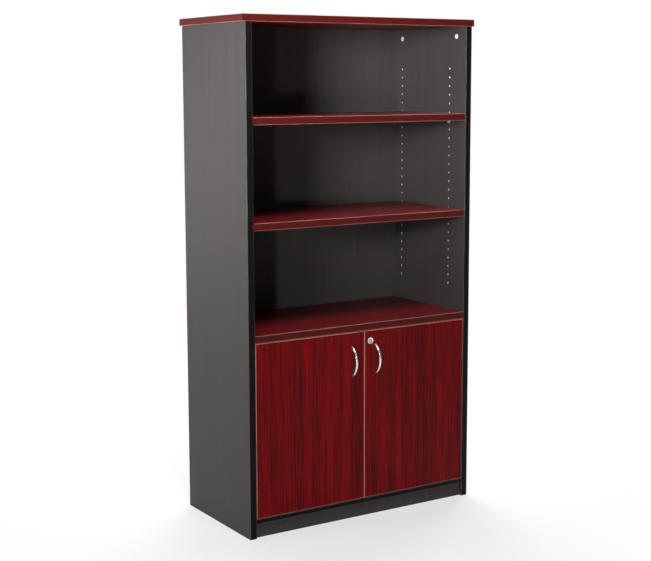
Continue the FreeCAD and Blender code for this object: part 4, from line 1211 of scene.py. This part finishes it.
@dataclass
class Studio:
    """A pale floor, soft lamps and the camera."""

    eye: tuple[float, float, float] = (-2.5968, -4.0476, 1.5615)
    yaw: float = 0.5658
    pitch: float = -0.1351
    roll: float = -0.0028
    sensor: float = 36.0
    focal_widths: float = 1325.4 / 651
    shift: float = -0.03
    floor_size: float = 40.0
    shade_reach: float = 1.5
    shade_fade: float = 1.3
    # Name, bearing, distance, height, power, size, aim and spread, in degrees, metres and watts
    lamps: tuple[Lamp, ...] = (
        Lamp("key_lamp", 55.0, 4.0, 1.9, 14.5, 0.85, 1.9, 36.0),
        Lamp("fill_lamp", 41.0, 4.4, 0.9, 3.4, 0.2, 0.4, 43.6),
        Lamp("high_lamp", 25.0, 2.4, 4.6, 22.0, 1.5, 0.8, 70.0),
        Lamp("side_lamp", 105.0, 4.0, 0.9, 6.0, 1.0, 0.9, 44.0),
        Lamp("rear_lamp", 176.0, 4.0, 1.0, 100.0, 1.4, 0.9),
        Lamp("right_lamp", 238.0, 4.0, 1.0, 150.0, 1.4, 0.9),
        Lamp("top_lamp", 205.0, 2.4, 5.0, 130.0, 1.5, 1.7),
    )
    near_white: float = 0.45
    sky: float = 0.015
    sky_front: float = 0.35
    floor_front: float = 0.8
    dim_until: float = -0.2
    bright_from: float = 0.5
    view_end: float = 50.0

    def build(self) -> None:
        """Set up everything round the bookcase."""
        self.add_floor()
        for lamp in self.lamps:
            self.add_lamp(lamp)
        self.light_world()
        self.add_camera()

    def seen(self, tree: Tree, place: Socket, front: float) -> Socket:
        """Say how far a ray sees the white studio.

        The camera sees it all round. Gloss sees it behind the bookcase, and a darker studio in front.

        Args:
            tree: The tree of the world or the floor.
            place: Direction from the bookcase, or a place in metres.
            front: What gloss sees in front, from 0 to 1.

        Returns:
            1 for white, 0 for the studio as it is lit.
        """
        path = add(tree, "ShaderNodeLightPath").outputs
        depth = add(tree, "ShaderNodeSeparateXYZ", {0: place}).outputs["Y"]
        behind = add(tree, "ShaderNodeMapRange", {
            "Value": depth, "From Min": self.dim_until, "From Max": self.bright_from,
            "To Min": front, "To Max": 1.0})
        shown = maths(tree, "MULTIPLY", path["Is Glossy Ray"], behind)
        return maths(tree, "MAXIMUM", path["Is Camera Ray"], shown)

    def add_floor(self) -> None:
        """Lay a plain pale floor that keeps the bookcase's shadow and is seen as white further out."""
        mesh = bpy.data.meshes.new("floor")
        half = self.floor_size / 2
        corners = [(-half, -half, 0.0), (half, -half, 0.0), (half, half, 0.0), (-half, half, 0.0)]
        mesh.from_pydata(corners, [], [(0, 1, 2, 3)])
        floor = new_object("floor", mesh)
        material = bpy.data.materials.new("pale studio floor")
        tree = cleared(material)
        place = add(tree, "ShaderNodeTexCoord").outputs["Object"]
        distance = add(tree, "ShaderNodeVectorMath", {0: place}, operation="LENGTH").outputs["Value"]
        far = add(tree, "ShaderNodeMapRange", {
            "Value": distance, "From Min": self.shade_reach - self.shade_fade, "From Max": self.shade_reach,
            "To Min": self.near_white, "To Max": 1.0}, interpolation_type="SMOOTHSTEP")
        share = maths(tree, "MULTIPLY", far, self.seen(tree, place, self.floor_front))
        paper = add(tree, "ShaderNodeBsdfDiffuse", {"Color": linear("#f4f4f4")})
        white = add(tree, "ShaderNodeEmission", {"Color": linear("#ffffff"), "Strength": 1.0})
        mixed = add(tree, "ShaderNodeMixShader", {0: share, 1: paper, 2: white})
        add(tree, "ShaderNodeOutputMaterial", {"Surface": mixed})
        mesh.materials.append(material)

    def add_lamp(self, lamp: Lamp) -> None:
        """Hang one lamp and turn it to its target.

        Args:
            lamp: The lamp.
        """
        light = bpy.data.lights.new(lamp.name, "AREA")
        light.energy = lamp.power
        light.size = lamp.size
        light.spread = math.radians(lamp.spread)
        holder = bpy.data.objects.new(lamp.name, light)
        bearing = math.radians(lamp.bearing)
        place = Vector((-lamp.distance * math.sin(bearing), -lamp.distance * math.cos(bearing), lamp.height))
        turn = (UP * lamp.aim - place).to_track_quat("-Z", "Y").to_matrix().to_4x4()
        holder.matrix_world = Matrix.Translation(place) @ turn
        bpy.context.scene.collection.objects.link(holder)

    def light_world(self) -> None:
        """Give the world a faint, even light, seen as white."""
        world = bpy.data.worlds.new("studio")
        bpy.context.scene.world = world
        tree = cleared(world)
        heading = add(tree, "ShaderNodeTexCoord").outputs["Generated"]
        soft = add(tree, "ShaderNodeBackground", {"Color": linear("#ffffff"), "Strength": self.sky})
        white = add(tree, "ShaderNodeBackground", {"Color": linear("#ffffff"), "Strength": 1.0})
        mixed = add(tree, "ShaderNodeMixShader", {
            0: self.seen(tree, heading, self.sky_front), 1: soft, 2: white})
        add(tree, "ShaderNodeOutputWorld", {"Surface": mixed})

    def add_camera(self) -> None:
        """Stand the camera at the left of the front, a little lower than the top."""
        data = bpy.data.cameras.new("camera")
        data.sensor_width = self.sensor
        data.lens = self.focal_widths * self.sensor
        data.shift_y = self.shift
        data.clip_end = self.view_end
        camera = bpy.data.objects.new("camera", data)
        turn = (Matrix.Rotation(-self.yaw, 4, "Z") @ Matrix.Rotation(math.pi / 2 + self.pitch, 4, "X")
                @ Matrix.Rotation(self.roll, 4, "Z"))
        camera.matrix_world = Matrix.Translation(self.eye) @ turn
        bpy.context.scene.collection.objects.link(camera)
        bpy.context.scene.camera = camera
        bpy.context.scene.view_settings.view_transform = "Standard"


def main() -> None:
    """Dress the bookcase, build what Blender adds to it and set up the studio."""
    logging.basicConfig(level=logging.INFO)
    palette = Palette()
    palette.dress_nodes({
        "redwood_level": ("top_panel", "middle_shelf", "upper_shelf", "second_shelf", "cupboard_shelf"),
        # The back panel wears the same charcoal painted paler, as painted light
        "charcoal_back_painted_light": ("back_panel",)})
    shop = Workshop(palette, BandGrowth("edge bands"), CopyGrowth("set out copies"))
    EdgedBoards(shop).build()
    PinHoles(shop).build()
    CamCovers(shop).build()
    Screws(shop).build()
    for hand in ("left", "right"):
        BowHandle(shop, hand).build()
    CupboardLock(shop).build()
    DoorHinges(shop).build()
    soften_fittings()
    Studio().build()


if __name__ == "__main__":
    main()
